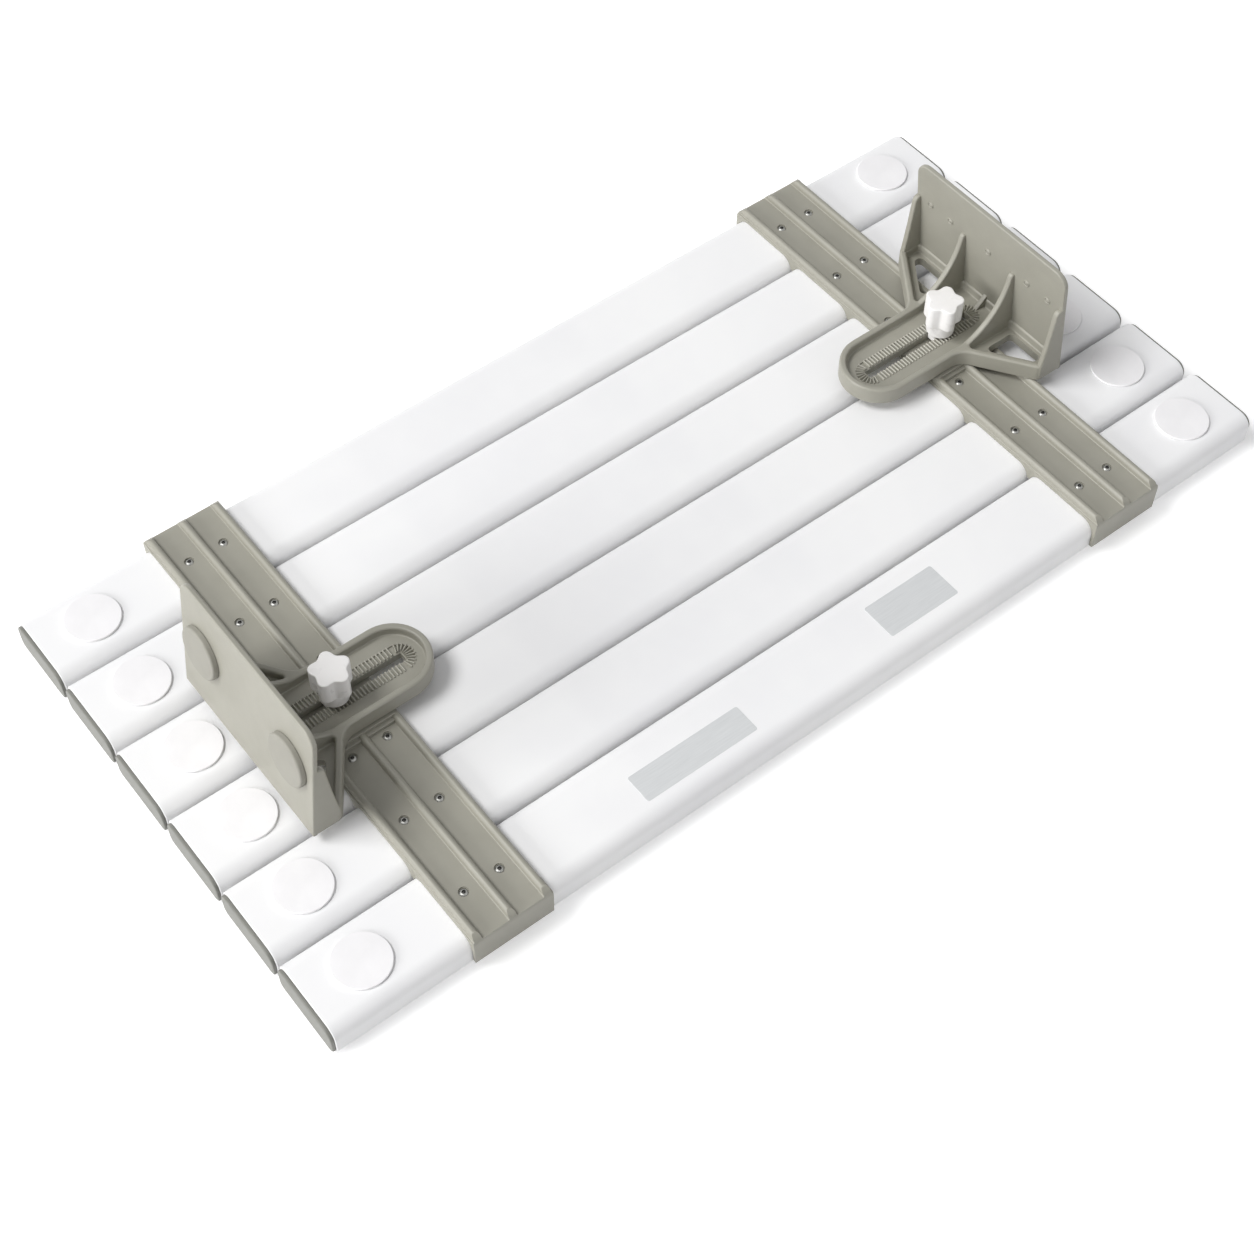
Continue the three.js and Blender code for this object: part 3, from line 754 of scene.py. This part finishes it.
slat = slat_mesh()
cap = cap_mesh()
disc = disc_mesh()
for index in range(SLAT_COUNT):
    number = SLAT_COUNT - index
    y = slat_place(index)
    placed(
        f"slat_{number}_skin", slat, "root", white_slat, "white_slat",
        y=y, nodes=[f"slat_{number}"],
    )
    for side, direction in SIDES.items():
        placed(
            f"cap_{side}_{number}", cap, "root", cap_plastic, "grey_plastic",
            x=direction * (SLAT_LENGTH / 2 + FIT_GAP), y=y, turn=HALF_TURN if direction < 0 else 0,
            nodes=[f"end_cap_{side}_{number}"],
        )
        placed(
            f"disc_{side}_{number}", disc, "root", disc_rubber, "rim_disc",
            x=direction * DISC_REACH, y=y, z=SLAT_THICKNESS + FIT_GAP,
            nodes=[f"rim_disc_{side}_{number}"],
        )


# ---- Rails and rivets ----


def rivet_place(index):
    """Y of a slat's rivets, which stand aside from the platform on the two middle slats."""
    middle = slat_place(index)
    return middle + math.copysign(RIVET_SHIFT, middle) if abs(middle) < SLAT_PITCH else middle


def rail_section():
    """Section across a rail: floor, three beads with fillets at their feet, skirts and legs."""
    foot = SLAT_THICKNESS - FIN_DEPTH
    radius = BEAD_WIDTH / 2
    centre = BEAD_TOP - radius
    reach = radius + BEAD_FILLET
    fillet_centre = RAIL_TOP + BEAD_FILLET
    points = [
        (-RAIL_FOOT_HALF, foot),
        (-RAIL_FOOT_HALF + SKIRT_WALL, foot),
        (-RAIL_FOOT_HALF + SKIRT_WALL, RAIL_UNDERSIDE),
        (-WEB_WALL / 2, RAIL_UNDERSIDE),
        (-WEB_WALL / 2, foot),
        (WEB_WALL / 2, foot),
        (WEB_WALL / 2, RAIL_UNDERSIDE),
        (RAIL_FOOT_HALF - SKIRT_WALL, RAIL_UNDERSIDE),
        (RAIL_FOOT_HALF - SKIRT_WALL, foot),
        (RAIL_FOOT_HALF, foot),
        (RAIL_FOOT_HALF, RAIL_UNDERSIDE),
    ]
    for x in (BEAD_REACH, 0, -BEAD_REACH):
        points += arc(x + reach, fillet_centre, BEAD_FILLET, -QUARTER_TURN, -HALF_TURN, EDGE_STEPS)
        points += arc(x, centre, radius, 0, HALF_TURN, BEAD_STEPS)
        points += arc(x - reach, fillet_centre, BEAD_FILLET, 0, -QUARTER_TURN, EDGE_STEPS)
    points.append((-RAIL_FOOT_HALF, RAIL_UNDERSIDE))
    return points


def rail_side():
    """Side view of a rail: over the slats, down into their gaps, and rolled over at its ends."""
    radius = UNDERSIDE_RADIUS + FIT_GAP
    centre = SLAT_THICKNESS - UNDERSIDE_RADIUS
    flat_half = SLAT_WIDTH / 2 - UNDERSIDE_RADIUS
    fin_angle = math.asin((SLAT_THICKNESS - FIN_DEPTH - centre) / radius)
    roll = RAIL_HALF_LENGTH - END_ROLL
    points = [(-RAIL_HALF_LENGTH, END_WALL_FOOT), (-RAIL_HALF_LENGTH + END_WALL, END_WALL_FOOT)]
    for index in range(SLAT_COUNT):
        middle = slat_place(index)
        start = HALF_TURN if index == 0 else HALF_TURN - fin_angle
        end = 0 if index == SLAT_COUNT - 1 else fin_angle
        points += arc(middle - flat_half, centre, radius, start, QUARTER_TURN)
        points += arc(middle + flat_half, centre, radius, QUARTER_TURN, end)
    points += [(RAIL_HALF_LENGTH - END_WALL, END_WALL_FOOT), (RAIL_HALF_LENGTH, END_WALL_FOOT)]
    points += arc(roll, BEAD_TOP - END_ROLL, END_ROLL, 0, QUARTER_TURN)
    points += arc(-roll, BEAD_TOP - END_ROLL, END_ROLL, QUARTER_TURN, HALF_TURN)
    return points


def end_blocks(mould):
    """Material for a rail's end walls, which its side view then trims."""
    half = RAIL_FOOT_HALF - END_INSET
    outer_flat = slat_place(SLAT_COUNT - 1) + SLAT_WIDTH / 2 - UNDERSIDE_RADIUS
    for direction in (-1, 1):
        ends = (direction * outer_flat, direction * (RAIL_HALF_LENGTH + 2 * OVERSHOOT))
        low, high = sorted(ends)
        mould.block((-half, low, 0), (half, high, RAIL_TOP - END_INSET))


def raised(mould, half, depth, top):
    """Flat-topped block between the outer beads, sunk by a depth in the rail's floor."""
    outline = rounded_box(-BEAD_REACH, BEAD_REACH, half, 0)
    mould.prism(outline, RAIL_TOP - depth, top, high_edge=STEP_EDGE)


def recesses(mould):
    """Shallow round recesses that the rivets' heads sit in."""
    circle = arc(0, 0, RECESS_RADIUS, 0, FULL_TURN, RECESS_SIDES)[:-1]
    for index in range(SLAT_COUNT):
        for x in (-RIVET_REACH, RIVET_REACH):
            place = Matrix.Translation((x, rivet_place(index), 0))
            mould.prism(circle, RECESS_FLOOR, RAIL_TOP + STEP_HEIGHT, place=place)


def rail_mesh():
    """Rail with solid ends, cut to its side view, then its step, platform and recesses."""
    length = RAIL_HALF_LENGTH + OVERSHOOT
    width = RAIL_FOOT_HALF + OVERSHOOT
    beam = helper(lambda mould: mould.prism(rail_section(), -length, length, place=ALONG_Y))
    for build, operation in (
        (end_blocks, "UNION"),
        (lambda mould: mould.prism(rail_side(), -width, width, place=ALONG_X), "INTERSECT"),
        (lambda mould: raised(mould, STEP_HALF, RAIL_FLOOR / 2, RAIL_TOP + STEP_HEIGHT), "UNION"),
        (lambda mould: raised(mould, PLATFORM_HALF, RAIL_FLOOR / 4, PLATFORM_TOP), "UNION"),
        (recesses, "DIFFERENCE"),
    ):
        combined(beam, build, operation)
    return mesh_of(beam)


def rivet_meshes():
    """The rivet's flanged head with its hollow, and a cone in the hollow whose near-black colour is
    painted shade of the bore.
    """
    hollow_floor = RIVET_HEIGHT - RIVET_DEPTH
    profile = [(RIVET_RADIUS, 0), (RIVET_RADIUS, RIVET_RIM)]
    for step in range(1, DOME_STEPS + 1):
        share = step / DOME_STEPS
        radius = RIVET_RADIUS + (RIVET_BORE - RIVET_RADIUS) * share
        rise = (RIVET_HEIGHT - RIVET_RIM) * math.sin(QUARTER_TURN * share)
        profile.append((radius, RIVET_RIM + rise))
    profile.append((RIVET_BORE, hollow_floor))
    head = Mould()
    head.lathe(profile, sides=RIVET_SIDES)
    core = Mould()
    core.lathe([
        (RIVET_BORE, hollow_floor),
        (RIVET_BORE * CORE_SHOULDER_SHARE, 2 * hollow_floor),
        (RIVET_BORE * CORE_TIP_SHARE, RIVET_DEPTH),
    ], sides=CORE_SIDES)
    return mesh_of(head.made("rivet_head")), mesh_of(core.made("rivet_bore_shade"))


rail = rail_mesh()
rivet_head, rivet_centre = rivet_meshes()
for side, direction in SIDES.items():
    placed(
        f"rail_{side}_moulding", rail, "root", grey_plastic, "grey_plastic",
        x=direction * RAIL_REACH, nodes=[f"rail_{side}"],
    )
    for index in range(SLAT_COUNT):
        for row, shift in (("outer", 1), ("inner", -1)):
            name = f"rivet_{side}_{row}_{SLAT_COUNT - index}"
            x = direction * (RAIL_REACH + shift * RIVET_REACH)
            spot = {"x": x, "y": rivet_place(index), "z": RECESS_FLOOR}
            placed(name, rivet_head, "root", steel, "steel", **spot)
            # The cone in the hollow is near-black as painted shade of the bore.
            placed(f"{name}_core", rivet_centre, "root", rivet_bore_shade, "steel", **spot)


# ---- Brackets, in their own frame: the plate's foot at x = 0 and the arm along +X ----


def plate_inner(height):
    """How far the plate's inner face stands from x = 0 at a height."""
    return PLATE_THICKNESS / math.cos(PLATE_LEAN) + height * math.tan(PLATE_LEAN)


def web_reach(y, inset):
    """How far the web reaches at a given y, inset from its slanting edge."""
    slope = (JUNCTION_REACH - CORNER_REACH) / (ARM_HALF - PLATE_HALF)
    return CORNER_REACH + (y - PLATE_HALF) * slope - inset * math.hypot(1, slope)


def bracket_outline():
    """The arm and the web from above."""
    return rounded([
        (WEB_START, -PLATE_HALF, 0),
        (CORNER_REACH, -PLATE_HALF, CORNER_RADIUS),
        (JUNCTION_REACH, -ARM_HALF, JUNCTION_RADIUS),
        (ARM_REACH, -ARM_HALF, ARM_HALF),
        (ARM_REACH, ARM_HALF, ARM_HALF),
        (JUNCTION_REACH, ARM_HALF, JUNCTION_RADIUS),
        (CORNER_REACH, PLATE_HALF, CORNER_RADIUS),
        (WEB_START, PLATE_HALF, 0),
    ], WIDE_ARC_STEPS)


def pocket_outlines():
    """Hollows between the rims: the arm's, and the web's on each side."""
    half = ARM_HALF - RIM_WIDTH
    start = plate_inner(ARM_FLOOR) + LEDGE
    arm = rounded([
        (start, -half, POCKET_RADIUS),
        (ARM_REACH - RIM_WIDTH, -half, half),
        (ARM_REACH - RIM_WIDTH, half, half),
        (start, half, POCKET_RADIUS),
    ], WIDE_ARC_STEPS)
    outer = PLATE_HALF - RIM_WIDTH
    web = rounded([
        (start, ARM_HALF, POCKET_RADIUS),
        (web_reach(ARM_HALF, RIM_WIDTH), ARM_HALF, POCKET_RADIUS),
        (web_reach(outer, RIM_WIDTH), outer, POCKET_RADIUS),
        (start, outer, POCKET_RADIUS),
    ])
    return [arm, web, mirrored(web)]


def cut_outlines():
    """What goes right through the floor: the slot, and a cut-out on each side."""
    near = ARM_HALF + HOLE_MARGIN
    outer = PLATE_HALF - RIM_WIDTH - HOLE_MARGIN
    inset = RIM_WIDTH + HOLE_MARGIN
    hole = rounded([
        (HOLE_START, near, HOLE_RADIUS),
        (web_reach(near, inset), near, HOLE_RADIUS),
        (web_reach(outer, inset), outer, HOLE_RADIUS),
        (HOLE_START, outer, HOLE_RADIUS),
    ])
    slot = rounded_box(SLOT_START, SLOT_END, SLOT_HALF, CUT_EDGE, SLOT_CORNER_STEPS)
    return [slot, hole, mirrored(hole)]


def web_body(mould):
    """The arm and the web before anything is cut from them."""
    mould.prism(bracket_outline(), 0, RIM_HEIGHT, UNDERSIDE_EDGE, RIM_EDGE)


def pocket_tools(mould):
    """Hollows of the arm and the web, with a fillet round their floor and a flare at the rim."""
    for outline in pocket_outlines():
        levels = inset_levels(outline, edge_rings(FLOOR_FILLET, ARM_FLOOR, -1))
        levels += inset_levels(outline, edge_rings(-RIM_EDGE, RIM_HEIGHT))
        mould.loft([*levels, (levels[-1][0], RIM_HEIGHT + RIM_EDGE)])


def bed_tool(mould):
    """Sunken bed that the teeth stand in, all round the slot."""
    half = SLOT_HALF + TOOTH_LENGTH - TOOTH_SUNK
    low, high = SLOT_START + SLOT_HALF - half, SLOT_END - SLOT_HALF + half
    outline = rounded_box(low, high, half, half, WIDE_ARC_STEPS)
    mould.prism(outline, ARM_FLOOR - BED_DEPTH, ARM_FLOOR + BED_DEPTH)


def cut_tools(mould):
    """Cutters for the slot and the cut-outs."""
    for outline in cut_outlines():
        mould.prism(outline, -RIM_EDGE, ARM_FLOOR + RIM_EDGE)


def gusset(mould, y, reach, height, tip, sweep):
    """Upright gusset centred on y. Its crest sweeps from the rim to a rounded tip on the plate."""
    root = ARM_FLOOR / 2
    shoulder = height - tip
    crest = plate_inner(shoulder) + tip
    foot = Vector((reach, RIM_HEIGHT - RIM_EDGE))
    turn = Vector((crest, shoulder))
    chord_middle = Vector(((reach + crest) / 2, (RIM_HEIGHT + shoulder) / 2))
    bend = chord_middle.lerp(Vector((crest, RIM_HEIGHT)), sweep)
    points = [
        (PLATE_THICKNESS / 2, root),
        (reach, root),
        *curve(foot, bend, turn, SWEEP_STEPS),
        *curve(turn, Vector((crest, height)), Vector((plate_inner(height), height)), TIP_STEPS)[1:],
        (plate_inner(height) - PLATE_THICKNESS / 2, height),
    ]
    low = -y - GUSSET_WALL / 2
    mould.prism(points, low, low + GUSSET_WALL, GUSSET_EDGE, GUSSET_EDGE, ALONG_Y)


def foot_gusset(mould):
    """Small gusset in the middle of the plate's foot."""
    root = ARM_FLOOR / 2
    reach = plate_inner(ARM_FLOOR) + LEDGE + FOOT_GUSSET_SIZE
    top = RIM_HEIGHT + FOOT_GUSSET_SIZE / 2
    points = [
        (PLATE_THICKNESS / 2, root),
        (reach, root),
        (reach, ARM_FLOOR),
        (plate_inner(top) - PLATE_THICKNESS / 2, top),
    ]
    half = FOOT_GUSSET_WALL / 2
    mould.prism(points, -half, half, FOOT_GUSSET_EDGE, FOOT_GUSSET_EDGE, ALONG_Y)


def gussets(mould):
    """Two gussets on each side and the one in the middle."""
    for side in (-1, 1):
        gusset(mould, side * (ARM_HALF - RIM_WIDTH / 2), **INNER_GUSSET)
        gusset(mould, side * (PLATE_HALF - GUSSET_WALL / 2), **OUTER_GUSSET)
    foot_gusset(mould)


def plate(mould):
    """Leaning plate, rounded at its upper corners."""
    outline = rounded([
        (-PLATE_HALF, 0, 0),
        (PLATE_HALF, 0, 0),
        (PLATE_HALF, PLATE_TOP, PLATE_RADIUS),
        (-PLATE_HALF, PLATE_TOP, PLATE_RADIUS),
    ])
    mould.prism(outline, 0, PLATE_THICKNESS, PLATE_EDGE, PLATE_EDGE, LEANING @ ALONG_X)


def bracket_mesh():
    """Bracket moulding, without its teeth and the plate's marks."""
    bracket = helper(web_body)
    for tool in (pocket_tools, bed_tool, cut_tools):
        combined(bracket, tool, "DIFFERENCE")
    for addition in (gussets, plate):
        combined(bracket, addition, "UNION")
    return mesh_of(bracket)


def tooth(mould, start, end, place, taper_share=1):
    """Tooth along Y with a rounded crest, its root sunk in the bed and its start tapered."""
    half, crest = TOOTH_BASE / 2, TOOTH_CREST / 2
    root = ARM_FLOOR - BED_DEPTH - TOOTH_SUNK
    outline = [
        (-half, root),
        (half, root),
        (half, ARM_FLOOR),
        *arc(0, ARM_FLOOR + TOOTH_HEIGHT - crest, crest, 0, HALF_TURN, CREST_STEPS),
        (-half, ARM_FLOOR),
    ]
    narrow = [(x * taper_share, y) for x, y in outline]
    mould.loft([(outline, -end), (narrow, -start)], place @ ALONG_Y)


def teeth(mould):
    """Teeth beside the slot, and in a fan round each of its ends."""
    start, end = SLOT_HALF + TOOTH_LAND, SLOT_HALF + TOOTH_LENGTH
    centres = [SLOT_START + SLOT_HALF, SLOT_END - SLOT_HALF]
    first, last = math.ceil(centres[0] / TOOTH_PITCH), math.floor(centres[1] / TOOTH_PITCH)
    for count in range(first, last + 1):
        for turn in (0, HALF_TURN):
            tooth(mould, start, end, turned_at(count * TOOTH_PITCH, turn))
    for x, half_turn in zip(centres, (0, HALF_TURN)):
        for count in range(FAN_TEETH):
            turn = (count + 1) * HALF_TURN / (FAN_TEETH + 1) + half_turn
            slot_edge = SLOT_HALF / max(abs(math.sin(turn)), abs(math.cos(turn)))
            fan_start = slot_edge + 2 * TOOTH_LAND
            tooth(mould, fan_start, end, turned_at(x, turn), FAN_TAPER_SHARE)


def marks(mould):
    """Low round marks where the pads' pegs come through the plate, and one in its middle."""
    inner = MARK_RADIUS - MARK_RING
    profile = [
        (MARK_RADIUS, PLATE_THICKNESS / 2),
        (MARK_RADIUS, PLATE_THICKNESS + MARK_PROUD / 2),
        (MARK_RADIUS - MARK_RING / 2, PLATE_THICKNESS + MARK_PROUD),
        (inner, PLATE_THICKNESS + MARK_PROUD / 2),
    ]
    for step in range(DOME_STEPS):
        angle = QUARTER_TURN * step / DOME_STEPS
        rise = MARK_PROUD * math.sin(angle)
        profile.append((inner * math.cos(angle), PLATE_THICKNESS + rise))
    pegs = [side * PAD_REACH + shift for side in (-1, 1) for shift in (-PEG_REACH, PEG_REACH)]
    for y in (*pegs, 0):
        place = LEANING @ Matrix.Translation((0, y, PAD_HEIGHT + PEG_RISE)) @ ALONG_X
        mould.lathe(profile, MARK_SIDES, place)


def pad_mesh(side):
    """Wall pad in the bracket's frame, standing proud of the plate's outer face."""
    mould = Mould()
    outward = Matrix.Rotation(-QUARTER_TURN, 4, "Y")
    place = Matrix.Translation((-FIT_GAP, side * PAD_REACH, PAD_HEIGHT)) @ outward
    profile = domed_profile(PAD_RADIUS, PAD_THICKNESS, PAD_EDGE, PAD_DOME)
    mould.lathe(profile, place=LEANING @ place)
    return mesh_of(mould.made(f"pad_{side}"))


# ---- Clamps, with heights from the arm's underside ----


def washer_mesh():
    """Round collar with its keys and teeth below."""
    mould = Mould()
    rings = edge_rings(FIT_GAP, WASHER_ROOT, -1) + edge_rings(WASHER_EDGE, WASHER_TOP)
    profile = [
        (BORE_RADIUS, WASHER_ROOT),
        *[(WASHER_RADIUS - inset, height) for inset, height in rings],
        (BORE_RADIUS, WASHER_TOP),
    ]
    mould.lathe(profile, closed=True)
    half = SLOT_HALF - FIT_GAP
    half_tooth = TOOTH_BASE / 2
    tooth_root = WASHER_ROOT + FIT_GAP
    for side in (-1, 1):
        low, high = sorted((side * KEY_START, side * (KEY_START + KEY_LENGTH)))
        mould.block((low, -half, WASHER_ROOT - KEY_DEPTH), (high, half, tooth_root))
        ends = (side * (SLOT_HALF + FIT_GAP), side * (WASHER_RADIUS - 2 * FIT_GAP))
        start, end = sorted(ends)
        for count in range(WASHER_TEETH):
            x = (count - (WASHER_TEETH - 1) / 2) * TOOTH_PITCH
            tip = (x, WASHER_ROOT - TOOTH_HEIGHT)
            outline = [(x - half_tooth, tooth_root), tip, (x + half_tooth, tooth_root)]
            mould.prism(outline, -end, -start, place=ALONG_Y)
    return mesh_of(mould.made("collar"))


def knob_mesh():
    """Star knob with rounded lobes and valleys, and a flat, slightly crowned top."""
    corners = []
    for index in range(2 * KNOB_LOBES):
        angle = HALF_TURN * index / KNOB_LOBES
        lobe, valley = (LOBE_CORNER, LOBE_RADIUS), (VALLEY_CORNER, VALLEY_RADIUS)
        reach, radius = valley if index % 2 else lobe
        corners.append((reach * math.cos(angle), reach * math.sin(angle), radius))
    outline = rounded(corners, KNOB_STEPS)
    top = KNOB_BOTTOM + KNOB_HEIGHT
    levels = inset_levels(outline, edge_rings(KNOB_FOOT_EDGE, KNOB_BOTTOM, -1))
    levels += inset_levels(outline, edge_rings(KNOB_EDGE, top - KNOB_CROWN))
    mould = Mould()
    mould.loft([*levels, ([(x / 2, y / 2) for x, y in outline], top)])
    return mesh_of(mould.made("knob"))


bracket = bracket_mesh()
tooth_mesh = mesh_of(helper(teeth))
mark_mesh = mesh_of(helper(marks))
pads = {side: pad_mesh(side) for side in (1, -1)}
washer = washer_mesh()
knob = knob_mesh()
for side, direction in SIDES.items():
    body = f"{side}_bracket"
    clamp = {
        "x": direction * RAIL_REACH,
        "z": ARM_BOTTOM,
        "turn": HALF_TURN if direction > 0 else 0,
    }
    spot = {**clamp, "x": direction * (RAIL_REACH + PLATE_REACH[side])}
    placed(
        f"bracket_{side}_moulding", bracket, body, grey_plastic, "grey_plastic",
        nodes=[f"bracket_{side}"], **spot,
    )
    # The teeth's lighter grey is a painted highlight on the same moulding.
    placed(f"bracket_{side}_teeth", tooth_mesh, body, highlit_tooth_plastic, "grey_plastic", **spot)
    placed(f"bracket_{side}_marks", mark_mesh, body, grey_plastic, "grey_plastic", **spot)
    for pad_side, data in pads.items():
        end = "far" if pad_side * -direction > 0 else "near"
        placed(
            f"pad_{side}_{end}", data, body, pad_rubber, "pad_rubber",
            nodes=[f"wall_pad_{side}_{end}"], **spot,
        )
    placed(
        f"collar_{side}", washer, f"{side}_washer", knob_plastic, "knob_plastic",
        nodes=[f"lock_washer_{side}"], **clamp,
    )
    placed(
        f"star_knob_{side}", knob, f"{side}_knob", knob_plastic, "knob_plastic",
        nodes=[f"knob_{side}"], **clamp,
    )


# ---- Labels ----

for number, label in enumerate(LABELS, 1):
    half_length = label["length"] / 2
    mould = Mould()
    outline = rounded_box(-half_length, half_length, label["width"] / 2, LABEL_CORNER)
    mould.prism(outline, 0, LABEL_THICKNESS, high_edge=LABEL_THICKNESS / 2)
    data = mesh_of(mould.made(f"label_{number}"))
    placed(
        f"blank_label_{number}", data, "root", label_foil, None,
        x=label["x"], y=label["y"], z=SLAT_THICKNESS,
    )

# Nodes that stay as they are, in the scene's steel
for name in ("knob_stud_left", "knob_stud_right", "captive_nut_left", "captive_nut_right"):
    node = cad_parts[name]
    node.data.materials.clear()
    node.data.materials.append(steel)


# ---- Floor, world, lights and camera ----


def camera_ray(tree):
    """1 for rays from the camera and for mirrored or refracted ones, else 0."""
    path = tree.nodes.new("ShaderNodeLightPath")
    value = path.outputs["Is Camera Ray"]
    for ray in ("Is Glossy Ray", "Is Transmission Ray"):
        larger = tree.nodes.new("ShaderNodeMath")
        larger.operation = "MAXIMUM"
        tree.links.new(value, larger.inputs[0])
        tree.links.new(path.outputs[ray], larger.inputs[1])
        value = larger.outputs["Value"]
    return value


def softbox(name, place, size, power):
    """Rectangular lamp that aims at the origin."""
    data = bpy.data.lights.new(name, "AREA")
    data.shape = "RECTANGLE"
    data.size, data.size_y = size
    data.energy = power
    lamp = bpy.data.objects.new(name, data)
    lamp.location = place
    lamp.rotation_mode = "QUATERNION"
    lamp.rotation_quaternion = (-Vector(place)).to_track_quat("-Z", "Y")
    bpy.context.scene.collection.objects.link(lamp)


floor_mould = Mould()
floor_outline = rounded_box(-FLOOR_REACH, FLOOR_REACH, FLOOR_REACH, 0)
floor_mould.close(floor_mould.ring(floor_outline, FLOOR_LEVEL))
floor = floor_mould.made("floor")
paper = Finish("paper_floor")
paper.set(
    Base_Color=linear(*FLOOR_TONE), Roughness=FLOOR_ROUGHNESS, Specular_IOR_Level=FLOOR_SPECULAR,
    Emission_Color=WHITE,
)
glow = paper.node("ShaderNodeMath", operation="MULTIPLY")
paper.link(camera_ray(paper.tree), glow.inputs[0])
glow.inputs[1].default_value = BACKDROP_GLOW
paper.link(glow.outputs["Value"], paper.shader.inputs["Emission Strength"])
floor.data.materials.append(paper.material)

world = bpy.data.worlds.new("studio")
bpy.context.scene.world = world
world.use_nodes = True
background = world.node_tree.nodes["Background"]
mix = world.node_tree.nodes.new("ShaderNodeMix")
mix.data_type = "RGBA"
world.node_tree.links.new(camera_ray(world.node_tree), mix.inputs["Factor"])
mix.inputs["A"].default_value = AMBIENT
mix.inputs["B"].default_value = WHITE
world.node_tree.links.new(mix.outputs["Result"], background.inputs["Color"])

for name, lamp in LAMPS.items():
    softbox(name, **lamp)

camera_data = bpy.data.cameras.new("camera")
camera_data.sensor_width = CAMERA_SENSOR
camera_data.lens = CAMERA_LENS
camera = bpy.data.objects.new("camera", camera_data)
bpy.context.scene.collection.objects.link(camera)
back = Vector((
    math.sin(CAMERA_AZIMUTH) * math.cos(CAMERA_ELEVATION),
    -math.cos(CAMERA_AZIMUTH) * math.cos(CAMERA_ELEVATION),
    math.sin(CAMERA_ELEVATION),
))
camera.location = CAMERA_TARGET + back * CAMERA_DISTANCE
camera.rotation_mode = "QUATERNION"
camera.rotation_quaternion = (-back).to_track_quat("-Z", "Y") @ Quaternion((0, 0, 1), CAMERA_ROLL)
bpy.context.scene.camera = camera
bpy.context.scene.view_settings.view_transform = "Standard"
